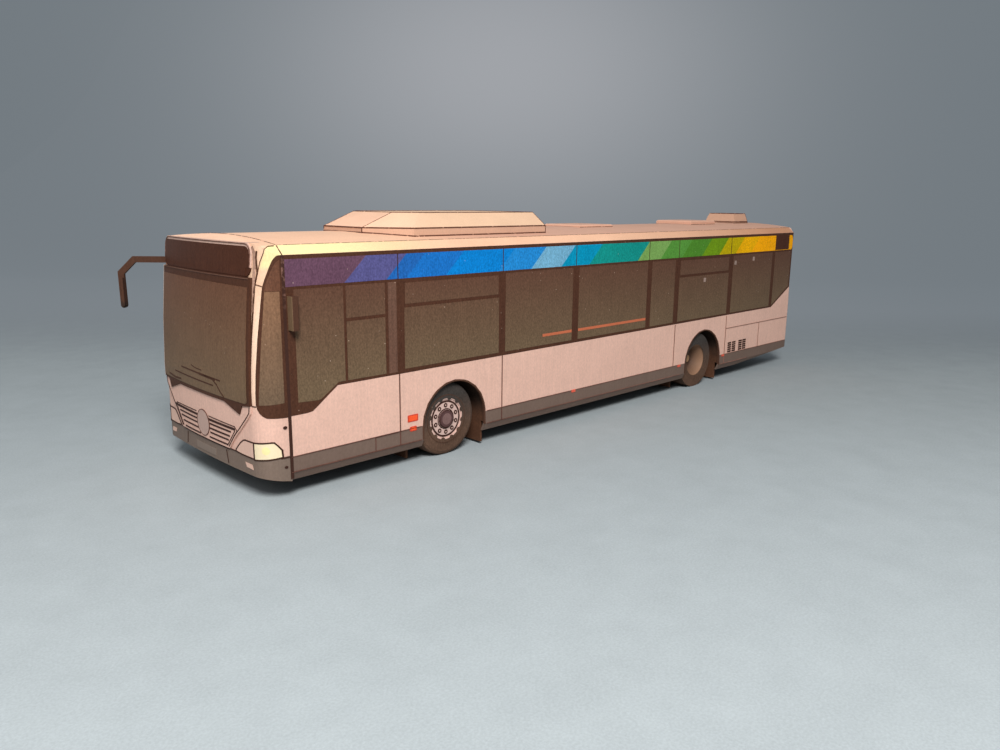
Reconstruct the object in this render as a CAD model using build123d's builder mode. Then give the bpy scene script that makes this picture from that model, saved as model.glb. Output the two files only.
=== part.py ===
"""Card model of a two-axle low-floor city bus at 1:87, folded and glued from printed card.

Units are millimetres. +X is forward, +Y is the driver's side and +Z is up. The origin is the
centre of the flat floor panel between the axles, on its underside, where a display stand or a
road plate is glued. Stations count backwards from the foremost point of the body, and levels
count upwards from the road; station() and level() turn both into the model's own frame.
"""
import os
from build123d import *

os.makedirs("parts", exist_ok=True)

# ---- Body shell ------------------------------------------------------------------------------
body_length = 137.4
body_width = 29.3
card = 0.35
glue_gap = 0.02
floor_level = 2.35
side_top = 30.55
cove_width = 1.3
cove_rise = 1.1
roof_crown = 0.85
flap_depth = 1.6
hem_level = 3.45
hem_inset = 0.5
hem_to_floor = 0.05

# ---- Front mask and the panels glued over it ----------------------------------------------------
front_seam = 4.7
front_bow_radius = 137.0
front_corner_radius = 2.8
mask_profile = [(1.0, 0.35), (14.0, 0.35), (20.5, 0.68), (29.0, 1.45), (33.5, 1.85)]
bumper_level = 3.45
brow_level = 31.9
brow_slope_run = 2.85
screen_thickness = 0.35
blind_thickness = 0.2
screen_half_width = 12.5
screen_top = 27.85
screen_bottom = 12.3
screen_foot = [(6.6, 12.0), (10.15, 10.9), (10.75, 12.1), (screen_half_width, screen_bottom)]
grille_side = [(12.3, 11.3), (11.7, 10.6), (9.8, 8.75), (8.5, 7.6), (7.0, 5.85)]
blind_half_width = 12.3
blind_top = 31.95
blind_corner_radius = 1.3

# ---- Rear cap -------------------------------------------------------------------------------------
rear_cap_depth = 1.8
rear_bow_radius = 260.0
end_depth = 7.0
rear_corner_radius = 1.5
rear_profile = [(1.0, 0.0), (14.0, 0.0), (29.5, 0.72), (33.5, 0.9)]
departure_station = 113.5
departure_level = 3.9

# ---- Running gear ---------------------------------------------------------------------------------
front_axle_station = 30.7
wheelbase = 67.2
tyre_radius = 5.5
tyre_shoulder = 0.6
tyre_crease = 0.18
tyre_inset = 0.7
axle_radius = 0.75
axle_clearance = 0.05
hub_fit = 0.02
bearing_plate_radius = 2.2
front_tyre_width = 3.2
rear_tyre_width = 6.4
front_bore_radius = 3.3
rear_bore_radius = 3.6
twin_groove_width = 0.6
twin_groove_depth = 0.9
hub_tube_radius = 1.5
hub_cap_radius = 1.35
hub_cap_thickness = 0.3
rim_recess = 0.15
rim_lip = 0.28
dish_depth = 2.2
dish_wall_setback = 0.56
dish_floor_radius = 1.9
axle_stub = 0.35

# ---- Wheel wells ------------------------------------------------------------------------------------
front_arch_gap = 0.45
rear_arch_gap = 0.95
front_arch_offset = 1.15
rear_arch_offset = 1.75
front_arch_drop = 0.3
rear_arch_drop = 0.5
well_gap = 0.1
wheel_clearance = 0.5
front_box_half_width = 8.2
rear_box_half_width = 6.6
box_headroom = 0.5
flap_level = 0.4
flap_inset = 0.6
mud_flap_inset = 1.05
fore_flap_inset = 2.35
well_notch_level = 3.8

# ---- Roof equipment -----------------------------------------------------------------------------------
front_pod_station = 22.9
front_pod_chamfer_station = 27.8
front_pod_rear_station = 55.3
front_pod_half_width = 10.5
front_pod_nose_half_width = 4.9
front_pod_rim_top = 33.15
front_pod_top = 35.25
front_pod_nose_slope = 5.3
front_pod_chamfer_slope = 4.0
front_pod_side_slope = 2.6
front_pod_rear_slope = 0.4
rear_pod_station = 127.5
rear_pod_shoulder_station = 127.9
rear_pod_rear_station = 133.6
rear_pod_half_width = 3.85
rear_pod_nose_half_width = 3.7
rear_pod_rim_height = 0.3
rear_pod_top = 34.6
rear_pod_nose_slope = 0.8
rear_pod_side_slope = 0.7
rear_pod_rear_slope = 0.1
hatches = {"front_roof_hatch": (71.4, 0.35), "rear_roof_hatch": (108.4, 0.7)}
hatch_length = 9.6
hatch_half_width = 4.5
hatch_bevel = 0.25

# ---- Mirrors --------------------------------------------------------------------------------------------
left_mirror_station = 5.1
left_mirror_size = (0.9, 1.2, 4.15)
left_mirror_bevel = 0.12
left_mirror_level = 21.5
mirror_root = (2.4, -13.2)
mirror_tip = (-2.42, -17.64)
mirror_arm_level = 28.5
mirror_arm_run = 4.6
mirror_drop_level = 26.6
mirror_bottom_level = 22.05
mirror_strip_width = 0.85
mirror_strip_thickness = 0.5
mirror_tuck = 0.05
mirror_leaf_depth = 0.95
mirror_leaf_height = 3.9
mirror_leaf_thickness = 0.3
mirror_root_overlap = 1.6

# ---- Values worked out from the ones above ----------------------------------------------------------
half_width = body_width / 2
inner_half_width = half_width - card
crease_half_width = half_width - cove_width
crease_level = side_top + cove_rise
crown_level = crease_level + roof_crown
floor_half_width = inner_half_width - hem_inset - hem_to_floor
rear_seam = body_length - rear_cap_depth
rear_axle_station = front_axle_station + wheelbase
tyre_face = half_width - tyre_inset
front_arch_station = front_axle_station + front_arch_offset
rear_arch_station = rear_axle_station + rear_arch_offset
front_arch_radius = tyre_radius + front_arch_gap
rear_arch_radius = tyre_radius + rear_arch_gap
front_arch_centre_level = tyre_radius - front_arch_drop
rear_arch_centre_level = tyre_radius - rear_arch_drop
well_ahead = tyre_radius + wheel_clearance + card
front_well = (front_axle_station - well_ahead,
              front_arch_station + front_arch_radius + well_gap + card)
rear_well = (rear_axle_station - well_ahead,
             rear_arch_station + rear_arch_radius + well_gap + card)
box_top = rear_arch_centre_level + (rear_well[1] - rear_well[0]) / 2 + box_headroom
mud_flap_outer = half_width - mud_flap_inset
fore_flap_outer = half_width - fore_flap_inset
origin_station = (front_well[1] + rear_well[0]) / 2
departure_slope = (departure_level - floor_level) / (body_length - departure_station)
bumper_slope = (bumper_level - floor_level) / front_seam


def station(distance):
    """X of a point that lies this far behind the foremost point of the body."""
    return origin_station - distance


def level(height):
    """Z of a point this high above the road."""
    return height - floor_level


def departure(distance):
    """Level of the rising underside at a station behind the rear axle."""
    return floor_level + departure_slope * max(0.0, distance - departure_station)


def save(piece, name):
    """Label a finished sub-part and write its STEP file."""
    piece.part.label = name
    export_step(piece.part, f"parts/{name}.step")


# ---- Envelopes: closed volumes that the shell sheets are the skins of ------------------------------
def roof_envelope(grow, rear_x, front_x):
    """Body cross-section with its coved, slightly crowned roof, drawn out along X."""
    with BuildPart() as volume:
        with BuildSketch(Plane.YZ.offset(rear_x)):
            with BuildLine():
                ThreePointArc((-crease_half_width, level(crease_level)), (0, level(crown_level)),
                              (crease_half_width, level(crease_level)))
                Polyline((crease_half_width, level(crease_level)), (half_width, level(side_top)),
                         (half_width, level(-2)), (-half_width, level(-2)),
                         (-half_width, level(side_top)), (-crease_half_width, level(crease_level)))
            make_face()
            if grow:
                offset(amount=grow, kind=Kind.INTERSECTION)
        extrude(amount=front_x - rear_x)
    return volume.part


def end_volume(grow, profile, bow_radius, corner_radius, nose_x, facing, depth):
    """One end of the body: a bowed plan section with round corners, drawn up a leaning profile."""
    half = half_width + grow
    bow = bow_radius + grow
    sag = bow - (bow ** 2 - half ** 2) ** 0.5
    with BuildPart() as volume:
        for (height, lean), (next_height, next_lean) in zip(profile, profile[1:]):
            nose = nose_x - facing * (lean - grow)
            edge = nose - facing * sag
            back = nose - facing * depth
            with BuildSketch(Plane.XY.offset(level(height))) as section:
                with BuildLine():
                    ThreePointArc((edge, -half), (nose, 0), (edge, half))
                    Polyline((edge, half), (back, half), (back, -half), (edge, -half))
                make_face()
                corners = section.vertices().sort_by(Axis.X)
                corners = corners[-2:] if facing > 0 else corners[:2]
                fillet(corners, radius=corner_radius + grow)
            rise = Vector(-facing * (next_lean - lean), 0, next_height - height)
            extrude(amount=rise.length, dir=rise.normalized())
    return volume.part


def front_volume(grow):
    """Front end with its rising bumper edge and bevelled brow."""
    depth = end_depth
    plan = end_volume(grow, mask_profile, front_bow_radius, front_corner_radius, station(0), 1, depth)
    body = roof_envelope(grow, station(depth), station(-2))
    brow_slope = (crown_level - brow_level) / brow_slope_run
    brow_station = mask_profile[-1][1]
    with BuildPart() as volume:
        add(plan)
        add(body, mode=Mode.INTERSECT)
        with BuildSketch(Plane.XZ.offset(-half_width - 2)):
            with BuildLine():
                Polyline((station(depth), level(floor_level - bumper_slope * (depth - front_seam))),
                         (station(-2), level(bumper_level + bumper_slope * 2)),
                         (station(-2), level(brow_level - brow_slope * (brow_station + 2))),
                         (station(depth), level(brow_level + brow_slope * (depth - brow_station))),
                         close=True)
            make_face()
            if grow:
                offset(amount=grow, kind=Kind.INTERSECTION)
        extrude(amount=body_width + 4, mode=Mode.INTERSECT)
    return volume.part


def rear_volume(grow):
    """Rear end with its rising underside."""
    depth = end_depth
    plan = end_volume(grow, rear_profile, rear_bow_radius, rear_corner_radius,
                      station(body_length), -1, depth)
    body = roof_envelope(grow, station(body_length + 2), station(body_length - depth))
    with BuildPart() as volume:
        add(plan)
        add(body, mode=Mode.INTERSECT)
        with BuildSketch(Plane.XZ.offset(-half_width - 2)):
            with BuildLine():
                Polyline((station(body_length + 2), level(departure(body_length + 2))),
                         (station(body_length - depth), level(departure(body_length - depth))),
                         (station(body_length - depth), level(crown_level + 2)),
                         (station(body_length + 2), level(crown_level + 2)),
                         close=True)
            make_face()
            if grow:
                offset(amount=grow, kind=Kind.INTERSECTION)
        extrude(amount=body_width + 4, mode=Mode.INTERSECT)
    return volume.part


front_outside = front_volume(0)
front_inside = front_volume(-card)
rear_outside = rear_volume(0)
rear_inside = rear_volume(-card)

# ---- Front mask: one folded sheet round both corners, open behind ----------------------------------
with BuildPart() as front_mask:
    add(front_outside)
    add(front_inside, mode=Mode.SUBTRACT)
    split(bisect_by=Plane.YZ.offset(station(front_seam)), keep=Keep.TOP)
save(front_mask, "front_mask")


def front_layer(name, outline, thickness, corner_radius=0.0):
    """A panel glued over the mask: its outline seen from ahead, drawn along X, cut to the skin."""
    back = front_volume(glue_gap)
    face = front_volume(glue_gap + thickness)
    with BuildPart() as layer:
        add(face)
        add(back, mode=Mode.SUBTRACT)
        with BuildSketch(Plane.YZ.offset(station(front_seam - 1))) as window:
            with BuildLine():
                Polyline(*[(y, level(height)) for y, height in outline], close=True)
            make_face()
            if corner_radius:
                fillet(window.vertices().group_by(Axis.Z)[-1], radius=corner_radius)
        extrude(amount=front_seam + 1, mode=Mode.INTERSECT)
    save(layer, name)
    return layer


def mirrored(points):
    """An outline given from the middle outwards on +Y, closed with its mirror image."""
    return points + [(-y, height) for y, height in reversed(points)]


windscreen = front_layer("windscreen", mirrored(screen_foot + [(screen_half_width, screen_top)]),
                         screen_thickness)
grille_panel = front_layer("grille_panel", mirrored(screen_foot + grille_side), blind_thickness)
destination_panel = front_layer(
    "destination_panel",
    [(-blind_half_width, screen_top), (blind_half_width, screen_top),
     (blind_half_width, blind_top), (-blind_half_width, blind_top)],
    blind_thickness, blind_corner_radius)

# ---- Rear cap ---------------------------------------------------------------------------------------
with BuildPart() as rear_cap:
    add(rear_outside)
    add(rear_inside, mode=Mode.SUBTRACT)
    split(bisect_by=Plane.YZ.offset(station(rear_seam)), keep=Keep.BOTTOM)
save(rear_cap, "rear_cap")

# ---- Side walls: one sheet each, its lowest strip folded inwards as a hem ---------------------------
arches = [(front_arch_station, front_arch_radius, front_arch_centre_level),
          (rear_arch_station, rear_arch_radius, rear_arch_centre_level)]
with BuildPart() as left_side:
    with BuildSketch(Plane.YZ.offset(station(rear_seam))):
        with BuildLine():
            Polyline((half_width, level(side_top)), (half_width, level(hem_level)),
                     (half_width - hem_inset, level(floor_level)),
                     (inner_half_width - hem_inset, level(floor_level)),
                     (inner_half_width, level(hem_level)), (inner_half_width, level(side_top)),
                     close=True)
        make_face()
    extrude(amount=rear_seam - front_seam)
    with BuildSketch(Plane.XZ.offset(-half_width - 1)):
        for arch_station, arch_radius, centre_level in arches:
            with Locations((station(arch_station), level(centre_level))):
                Circle(arch_radius)
            with Locations((station(arch_station), level(centre_level / 2 - 1))):
                Rectangle(2 * arch_radius, centre_level + 2)
    extrude(amount=5, mode=Mode.SUBTRACT)
    with BuildSketch(Plane.XZ.offset(-half_width - 1)):
        with BuildLine():
            Polyline((station(departure_station), level(floor_level)),
                     (station(rear_seam + 1), level(departure(rear_seam + 1))),
                     (station(rear_seam + 1), level(floor_level - 1)),
                     (station(departure_station), level(floor_level - 1)),
                     close=True)
        make_face()
    extrude(amount=5, mode=Mode.SUBTRACT)
save(left_side, "left_side")

with BuildPart() as right_side:
    mirror(left_side.part, about=Plane.XZ)
save(right_side, "right_side")

# ---- Roof: crowned top, two coves, and glue flaps inside the side walls ------------------------------
with BuildPart() as roof:
    add(roof_envelope(0, station(rear_seam), station(front_seam)))
    add(roof_envelope(-card, station(rear_seam), station(front_seam)), mode=Mode.SUBTRACT)
    split(bisect_by=Plane.XY.offset(level(side_top)), keep=Keep.TOP)
    with BuildSketch(Plane.YZ.offset(station(rear_seam) + card)):
        for side in (-1, 1):
            with Locations((side * (inner_half_width - glue_gap), level(side_top + card / 2))):
                Rectangle(card, flap_depth + card / 2,
                          align=(Align.MAX if side > 0 else Align.MIN, Align.MAX))
    extrude(amount=rear_seam - front_seam - 2 * card)
save(roof, "roof")

# ---- Floor panels --------------------------------------------------------------------------------------
floor_spans = {"floor_front": (front_seam, front_well[0]), "floor_mid": (front_well[1], rear_well[0])}
for name, (start, end) in floor_spans.items():
    with BuildPart() as floor_panel:
        with BuildSketch(Plane.XY):
            with Locations((station((start + end) / 2), 0)):
                Rectangle(end - start, 2 * floor_half_width)
        extrude(amount=card)
    save(floor_panel, name)

with BuildPart() as floor_rear:
    with BuildSketch(Plane.XZ.offset(-floor_half_width)):
        with BuildLine():
            Polyline((station(rear_well[1]), 0), (station(departure_station), 0),
                     (station(rear_seam), level(departure(rear_seam))),
                     (station(rear_seam), level(departure(rear_seam)) + card),
                     (station(departure_station), card), (station(rear_well[1]), card),
                     close=True)
        make_face()
    extrude(amount=2 * floor_half_width)
save(floor_rear, "floor_rear")


# ---- Wheel wells: an axle box between the wheels and a bent liner over each one -----------------------
def axle_box(name, well, axle_station, box_half_width):
    """Folded card box whose side walls and bearing plates carry the axle."""
    axle_z = level(tyre_radius)
    with BuildPart() as box:
        with BuildSketch(Plane.YZ.offset(station(well[1]))):
            with Locations((0, level((floor_level + box_top) / 2))):
                Rectangle(2 * box_half_width, box_top - floor_level)
                Rectangle(2 * (box_half_width - card), box_top - floor_level - 2 * card,
                          mode=Mode.SUBTRACT)
        extrude(amount=well[1] - well[0])
        for side in (-1, 1):
            plate_y = side * (box_half_width - card)
            with BuildSketch(Plane((station(axle_station), plate_y, axle_z),
                                   x_dir=(1, 0, 0), z_dir=(0, -side, 0))):
                Circle(bearing_plate_radius)
            extrude(amount=card)
        with BuildSketch(Plane((station(axle_station), box_half_width + 1, axle_z),
                               x_dir=(1, 0, 0), z_dir=(0, -1, 0))):
            Circle(axle_radius + axle_clearance)
        extrude(amount=2 * box_half_width + 2, mode=Mode.SUBTRACT)
    save(box, name)


def wheel_arch(name, side, well, centre_level, box_half_width):
    """Card strip bent over the wheel, its ends hanging down as flaps before and behind it."""
    middle = (station((well[0] + well[1]) / 2), level(centre_level))
    outer = (well[1] - well[0]) / 2
    inner = outer - card
    leg = centre_level - flap_level
    y_start = side * box_half_width
    y_run = inner_half_width - box_half_width
    with BuildPart() as liner:
        with BuildSketch(Plane((0, y_start, 0), x_dir=(1, 0, 0), z_dir=(0, -1, 0))):
            for radius, mode in ((outer, Mode.ADD), (inner, Mode.SUBTRACT)):
                with Locations(middle):
                    Circle(radius, mode=mode)
                with Locations((middle[0], middle[1] - leg / 2)):
                    Rectangle(2 * radius, leg, mode=mode)
            with Locations((middle[0], level(flap_level))):
                Rectangle(3 * outer, 2 * outer, align=(Align.CENTER, Align.MAX), mode=Mode.SUBTRACT)
        extrude(amount=-side * y_run)
        flap_y = side * (box_half_width + flap_inset / 2)
        with Locations((middle[0], flap_y, level(floor_level))):
            Box(3 * outer, flap_inset, 2 * leg,
                align=(Align.CENTER, Align.CENTER, Align.MAX), mode=Mode.SUBTRACT)
        with Locations((middle[0], side * mud_flap_outer, level(well_notch_level))):
            Box(3 * outer, 2, 2 * leg,
                align=(Align.CENTER, Align.MIN if side > 0 else Align.MAX, Align.MAX),
                mode=Mode.SUBTRACT)
        with Locations((middle[0] + outer, side * fore_flap_outer, level(floor_level))):
            Box(outer, 4, 2 * leg,
                align=(Align.CENTER, Align.MIN if side > 0 else Align.MAX, Align.MAX),
                mode=Mode.SUBTRACT)
    save(liner, name)


axle_box("front_axle_box", front_well, front_axle_station, front_box_half_width)
axle_box("rear_axle_box", rear_well, rear_axle_station, rear_box_half_width)
for side_name, side in (("left", 1), ("right", -1)):
    wheel_arch(f"front_{side_name}_wheel_arch", side, front_well,
               front_arch_centre_level, front_box_half_width)
    wheel_arch(f"rear_{side_name}_wheel_arch", side, rear_well,
               rear_arch_centre_level, rear_box_half_width)


# ---- Wheelsets: two wheels glued to one axle that turns in its box ------------------------------------
def turned(name, axle_station, outline, side):
    """A round piece about the axle from its (radius, distance outwards) half section."""
    centre = Plane((station(axle_station), 0, level(tyre_radius)), x_dir=(1, 0, 0), z_dir=(0, 0, 1))
    with BuildPart() as piece:
        with BuildSketch(centre):
            with BuildLine():
                Polyline(*[(radius, side * out) for radius, out in outline], close=True)
            make_face()
        revolve(axis=Axis((station(axle_station), 0, level(tyre_radius)), (0, 1, 0)))
    save(piece, name)


hub_bore = axle_radius + hub_fit
front_rim_face = tyre_face - rim_recess
front_rim_outer = front_bore_radius - hub_fit
front_rim_inside = front_rim_face - card
front_back_face = tyre_face - front_tyre_width
rear_rim_outer = rear_bore_radius - hub_fit
rear_back_face = tyre_face - rear_tyre_width
dish_floor = tyre_face - dish_depth
twin_middle = tyre_face - rear_tyre_width / 2

front_tyre = [(front_bore_radius, front_back_face), (tyre_radius - tyre_shoulder, front_back_face),
              (tyre_radius, front_back_face + tyre_shoulder), (tyre_radius, tyre_face - tyre_shoulder),
              (tyre_radius - tyre_crease, tyre_face - tyre_crease),
              (tyre_radius - tyre_shoulder, tyre_face), (front_bore_radius, tyre_face)]
front_rim = [(0, front_rim_face), (front_rim_outer - rim_lip, front_rim_face),
             (front_rim_outer - rim_lip, tyre_face), (front_rim_outer, tyre_face),
             (front_rim_outer, front_back_face), (front_rim_outer - card, front_back_face),
             (front_rim_outer - card, front_rim_inside), (hub_tube_radius, front_rim_inside),
             (hub_tube_radius, front_back_face + card), (hub_bore, front_back_face + card),
             (hub_bore, front_rim_inside), (0, front_rim_inside)]
hub_cap = [(0, front_rim_face), (hub_cap_radius, front_rim_face),
           (hub_cap_radius, front_rim_face + hub_cap_thickness / 2),
           (hub_cap_radius - hub_cap_thickness / 2, front_rim_face + hub_cap_thickness),
           (0, front_rim_face + hub_cap_thickness)]
rear_tyre = [(rear_bore_radius, rear_back_face), (tyre_radius, rear_back_face),
             (tyre_radius, twin_middle - twin_groove_width / 2),
             (tyre_radius - twin_groove_depth, twin_middle),
             (tyre_radius, twin_middle + twin_groove_width / 2),
             (tyre_radius, tyre_face), (rear_bore_radius, tyre_face)]
rear_rim = [(rear_rim_outer, tyre_face), (rear_rim_outer, rear_back_face),
            (rear_rim_outer - card, rear_back_face),
            (rear_rim_outer - card, tyre_face - dish_wall_setback),
            (dish_floor_radius - card / 2, dish_floor - card), (hub_tube_radius, dish_floor - card),
            (hub_tube_radius, rear_back_face + card), (hub_bore, rear_back_face + card),
            (hub_bore, dish_floor), (dish_floor_radius, dish_floor),
            (rear_rim_outer - card / 2, tyre_face)]

for side_name, side in (("left", 1), ("right", -1)):
    turned(f"front_{side_name}_tyre", front_axle_station, front_tyre, side)
    turned(f"front_{side_name}_rim", front_axle_station, front_rim, side)
    turned(f"front_{side_name}_hub_cap", front_axle_station, hub_cap, side)
    turned(f"rear_{side_name}_twin_tyre", rear_axle_station, rear_tyre, side)
    turned(f"rear_{side_name}_rim", rear_axle_station, rear_rim, side)

axle_ends = {"front_axle": (front_axle_station, front_rim_inside - hub_fit),
             "rear_axle": (rear_axle_station, dish_floor + axle_stub)}
for name, (axle_station, reach) in axle_ends.items():
    with BuildPart() as axle:
        with BuildSketch(Plane((station(axle_station), reach, level(tyre_radius)),
                               x_dir=(1, 0, 0), z_dir=(0, -1, 0))):
            Circle(axle_radius)
        extrude(amount=2 * reach)
    save(axle, name)


# ---- Roof equipment ------------------------------------------------------------------------------------
roof_skin = roof_envelope(glue_gap, station(body_length), station(0))


def roof_pod(name, outline, runs, rim_top, pod_top):
    """Folded card housing: an upright rim, then a sloping face inwards from each edge; hollow."""

    def housing(shrink):
        with BuildPart() as volume:
            with BuildSketch(Plane.XY.offset(level(crease_level))):
                with BuildLine():
                    Polyline(*outline, close=True)
                make_face()
                if shrink:
                    offset(amount=-shrink, kind=Kind.INTERSECTION)
            extrude(amount=pod_top - shrink - crease_level)
            for start, end, run in zip(outline, outline[1:] + outline[:1], runs):
                along = Vector(end[0] - start[0], end[1] - start[1], 0).normalized()
                inwards = Vector(0, 0, 1).cross(along)
                up_face = inwards * run + Vector(0, 0, pod_top - rim_top)
                outwards = along.cross(up_face).normalized()
                corner = Vector(start[0], start[1], level(rim_top)) - outwards * shrink
                split(bisect_by=Plane(origin=corner, z_dir=outwards), keep=Keep.BOTTOM)
        return volume.part

    outside = housing(0)
    inside = housing(card)
    with BuildPart() as pod:
        add(outside)
        add(inside, mode=Mode.SUBTRACT)
        add(roof_skin, mode=Mode.SUBTRACT)
    save(pod, name)


def plan_outline(nose, shoulder, tail, nose_half, half):
    """Six corners of a housing seen from above, anticlockwise: a narrowed nose and a square tail."""
    left = [(station(nose), nose_half), (station(shoulder), half), (station(tail), half)]
    return left + [(x, -y) for x, y in reversed(left)]


roof_pod("front_roof_pod",
         plan_outline(front_pod_station, front_pod_chamfer_station, front_pod_rear_station,
                      front_pod_nose_half_width, front_pod_half_width),
         [front_pod_chamfer_slope, front_pod_side_slope, front_pod_rear_slope,
          front_pod_side_slope, front_pod_chamfer_slope, front_pod_nose_slope],
         front_pod_rim_top, front_pod_top)
roof_pod("rear_roof_pod",
         plan_outline(rear_pod_station, rear_pod_shoulder_station, rear_pod_rear_station,
                      rear_pod_nose_half_width, rear_pod_half_width),
         [rear_pod_side_slope, rear_pod_side_slope, rear_pod_rear_slope,
          rear_pod_side_slope, rear_pod_side_slope, rear_pod_nose_slope],
         crown_level + rear_pod_rim_height, rear_pod_top)

for name, (hatch_station, hatch_height) in hatches.items():
    with BuildPart() as hatch:
        with BuildSketch(Plane.XY.offset(level(crease_level))):
            with Locations((station(hatch_station + hatch_length / 2), 0)):
                Rectangle(hatch_length, 2 * hatch_half_width)
        extrude(amount=crown_level + hatch_height - crease_level)
        chamfer(hatch.edges().group_by(Axis.Z)[-1], length=hatch_bevel)
        add(roof_skin, mode=Mode.SUBTRACT)
    save(hatch, name)

# ---- Mirrors --------------------------------------------------------------------------------------------
with BuildPart() as left_mirror:
    with BuildSketch(Plane.XY.offset(level(left_mirror_level))):
        with Locations((station(left_mirror_station + left_mirror_size[0] / 2), half_width)):
            Rectangle(left_mirror_size[0], left_mirror_size[1], align=(Align.CENTER, Align.MIN))
    extrude(amount=left_mirror_size[2])
    chamfer(left_mirror.edges().filter_by(Axis.Z).group_by(Axis.Y)[-1], length=left_mirror_bevel)
save(left_mirror, "left_mirror")

arm_root = Vector(station(mirror_root[0]), mirror_root[1], 0)
arm_reach = Vector(station(mirror_tip[0]), mirror_tip[1], 0) - arm_root
arm_plane = Plane(origin=arm_root, x_dir=arm_reach, z_dir=arm_reach.cross(Vector(0, 0, 1)))
mask_skin = front_volume(glue_gap)
drop_top = (arm_reach.length, level(mirror_drop_level))
drop_bottom = (arm_reach.length - mirror_tuck, level(mirror_bottom_level))
with BuildPart() as right_mirror:
    with BuildSketch(arm_plane):
        with BuildLine():
            Polyline((-mirror_root_overlap, level(mirror_arm_level)),
                     (mirror_arm_run, level(mirror_arm_level)), drop_top, drop_bottom)
            offset(amount=mirror_strip_width / 2, side=Side.BOTH, kind=Kind.INTERSECTION)
        make_face()
    extrude(amount=mirror_strip_thickness / 2, both=True)
    with BuildSketch(arm_plane):
        with Locations((drop_bottom[0] - mirror_strip_width / 2, level(mirror_bottom_level))):
            Rectangle(mirror_leaf_thickness, mirror_leaf_height, align=(Align.MIN, Align.MIN))
    extrude(amount=-mirror_leaf_depth)
    add(mask_skin, mode=Mode.SUBTRACT)
save(right_mirror, "right_mirror")
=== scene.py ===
"""Finish for a card model city bus: printed windows, stripe, lamps, doors, wheels and card surfaces.

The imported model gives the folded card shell. Each operator below adds the print of one group of
pieces as thin paper shapes laid on that shell, or gives the shell's own sheets their surface.
Stations are millimetres behind the foremost point of the body, heights are millimetres above the
road, and offsets are millimetres to the driver's side.
"""
import math
from functools import partialmethod

import bpy
from bpy.props import FloatProperty, FloatVectorProperty, PointerProperty
from mathutils import Matrix, Vector


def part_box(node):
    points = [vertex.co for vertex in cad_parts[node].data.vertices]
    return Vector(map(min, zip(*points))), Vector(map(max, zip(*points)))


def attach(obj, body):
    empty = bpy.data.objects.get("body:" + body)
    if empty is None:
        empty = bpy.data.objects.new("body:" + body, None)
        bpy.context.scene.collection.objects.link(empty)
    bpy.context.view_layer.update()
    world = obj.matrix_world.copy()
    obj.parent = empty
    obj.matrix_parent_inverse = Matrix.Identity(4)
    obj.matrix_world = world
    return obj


bl_info = {
    "name": "Card Model City Bus",
    "version": (1, 0, 0),
    "blender": (4, 5, 0),
    "location": "View3D > Sidebar > Card Bus",
    "description": "Prints and finishes for a folded card model of a city bus",
    "category": "Object",
}

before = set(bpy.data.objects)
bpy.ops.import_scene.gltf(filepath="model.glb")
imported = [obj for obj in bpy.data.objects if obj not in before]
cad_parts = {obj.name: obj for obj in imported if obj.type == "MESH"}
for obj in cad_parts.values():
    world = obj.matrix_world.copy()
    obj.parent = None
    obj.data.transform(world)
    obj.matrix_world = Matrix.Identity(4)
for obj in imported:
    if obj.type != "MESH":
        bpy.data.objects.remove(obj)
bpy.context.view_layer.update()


def middle_of(node):
    low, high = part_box(node)
    return (low + high) / 2


MM = 0.001
FRONT_SEAM = 4.7  # station where the sides meet the mask
BAND_START = 11.8  # station where the long part of the window band begins
BAND_END = 135.6
ROOF_EDGE = 13.35  # offset and height of the fold between the roof's crown and its edge strip
EDGE_HEIGHT = 31.65
SHOULDER_HEIGHT = 30.55  # where the front seam ends
POD_RIM = 33.15  # top of the roof pod's upright sides
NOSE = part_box("left_side")[1].x + FRONT_SEAM * MM
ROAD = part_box("front_left_tyre")[0].z
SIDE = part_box("left_side")[1].y
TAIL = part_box("rear_cap")[0].x
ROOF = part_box("roof")[1].z
FRONT_WHEEL = middle_of("front_left_tyre")
REAR_WHEEL = middle_of("rear_left_twin_tyre")
QUARTER = math.pi / 2
DIAGONAL = math.sqrt(0.5)
CLEAR = 2.0  # how far off the body the corner drawings start
FINE = 1e-7


# ---- Settings --------------------------------------------------------------------------------
def linear(value):
    """One colour channel from the usual 0 to 255 scale, as the linear value that shaders use."""
    value /= 255
    return value / 12.92 if value <= 0.04045 else ((value + 0.055) / 1.055) ** 2.4


def title(key):
    """A key of a table below as a label."""
    return key.replace("_", " ").capitalize()


def ink_settings(colours):
    """Colour properties from colours on the 0 to 255 scale."""
    return {key: FloatVectorProperty(name=title(key), description="Colour of the print or card", size=3,
                                     default=[linear(value) for value in colour],
                                     subtype="COLOR", min=0.0, max=1.0)
            for key, colour in colours.items()}


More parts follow.
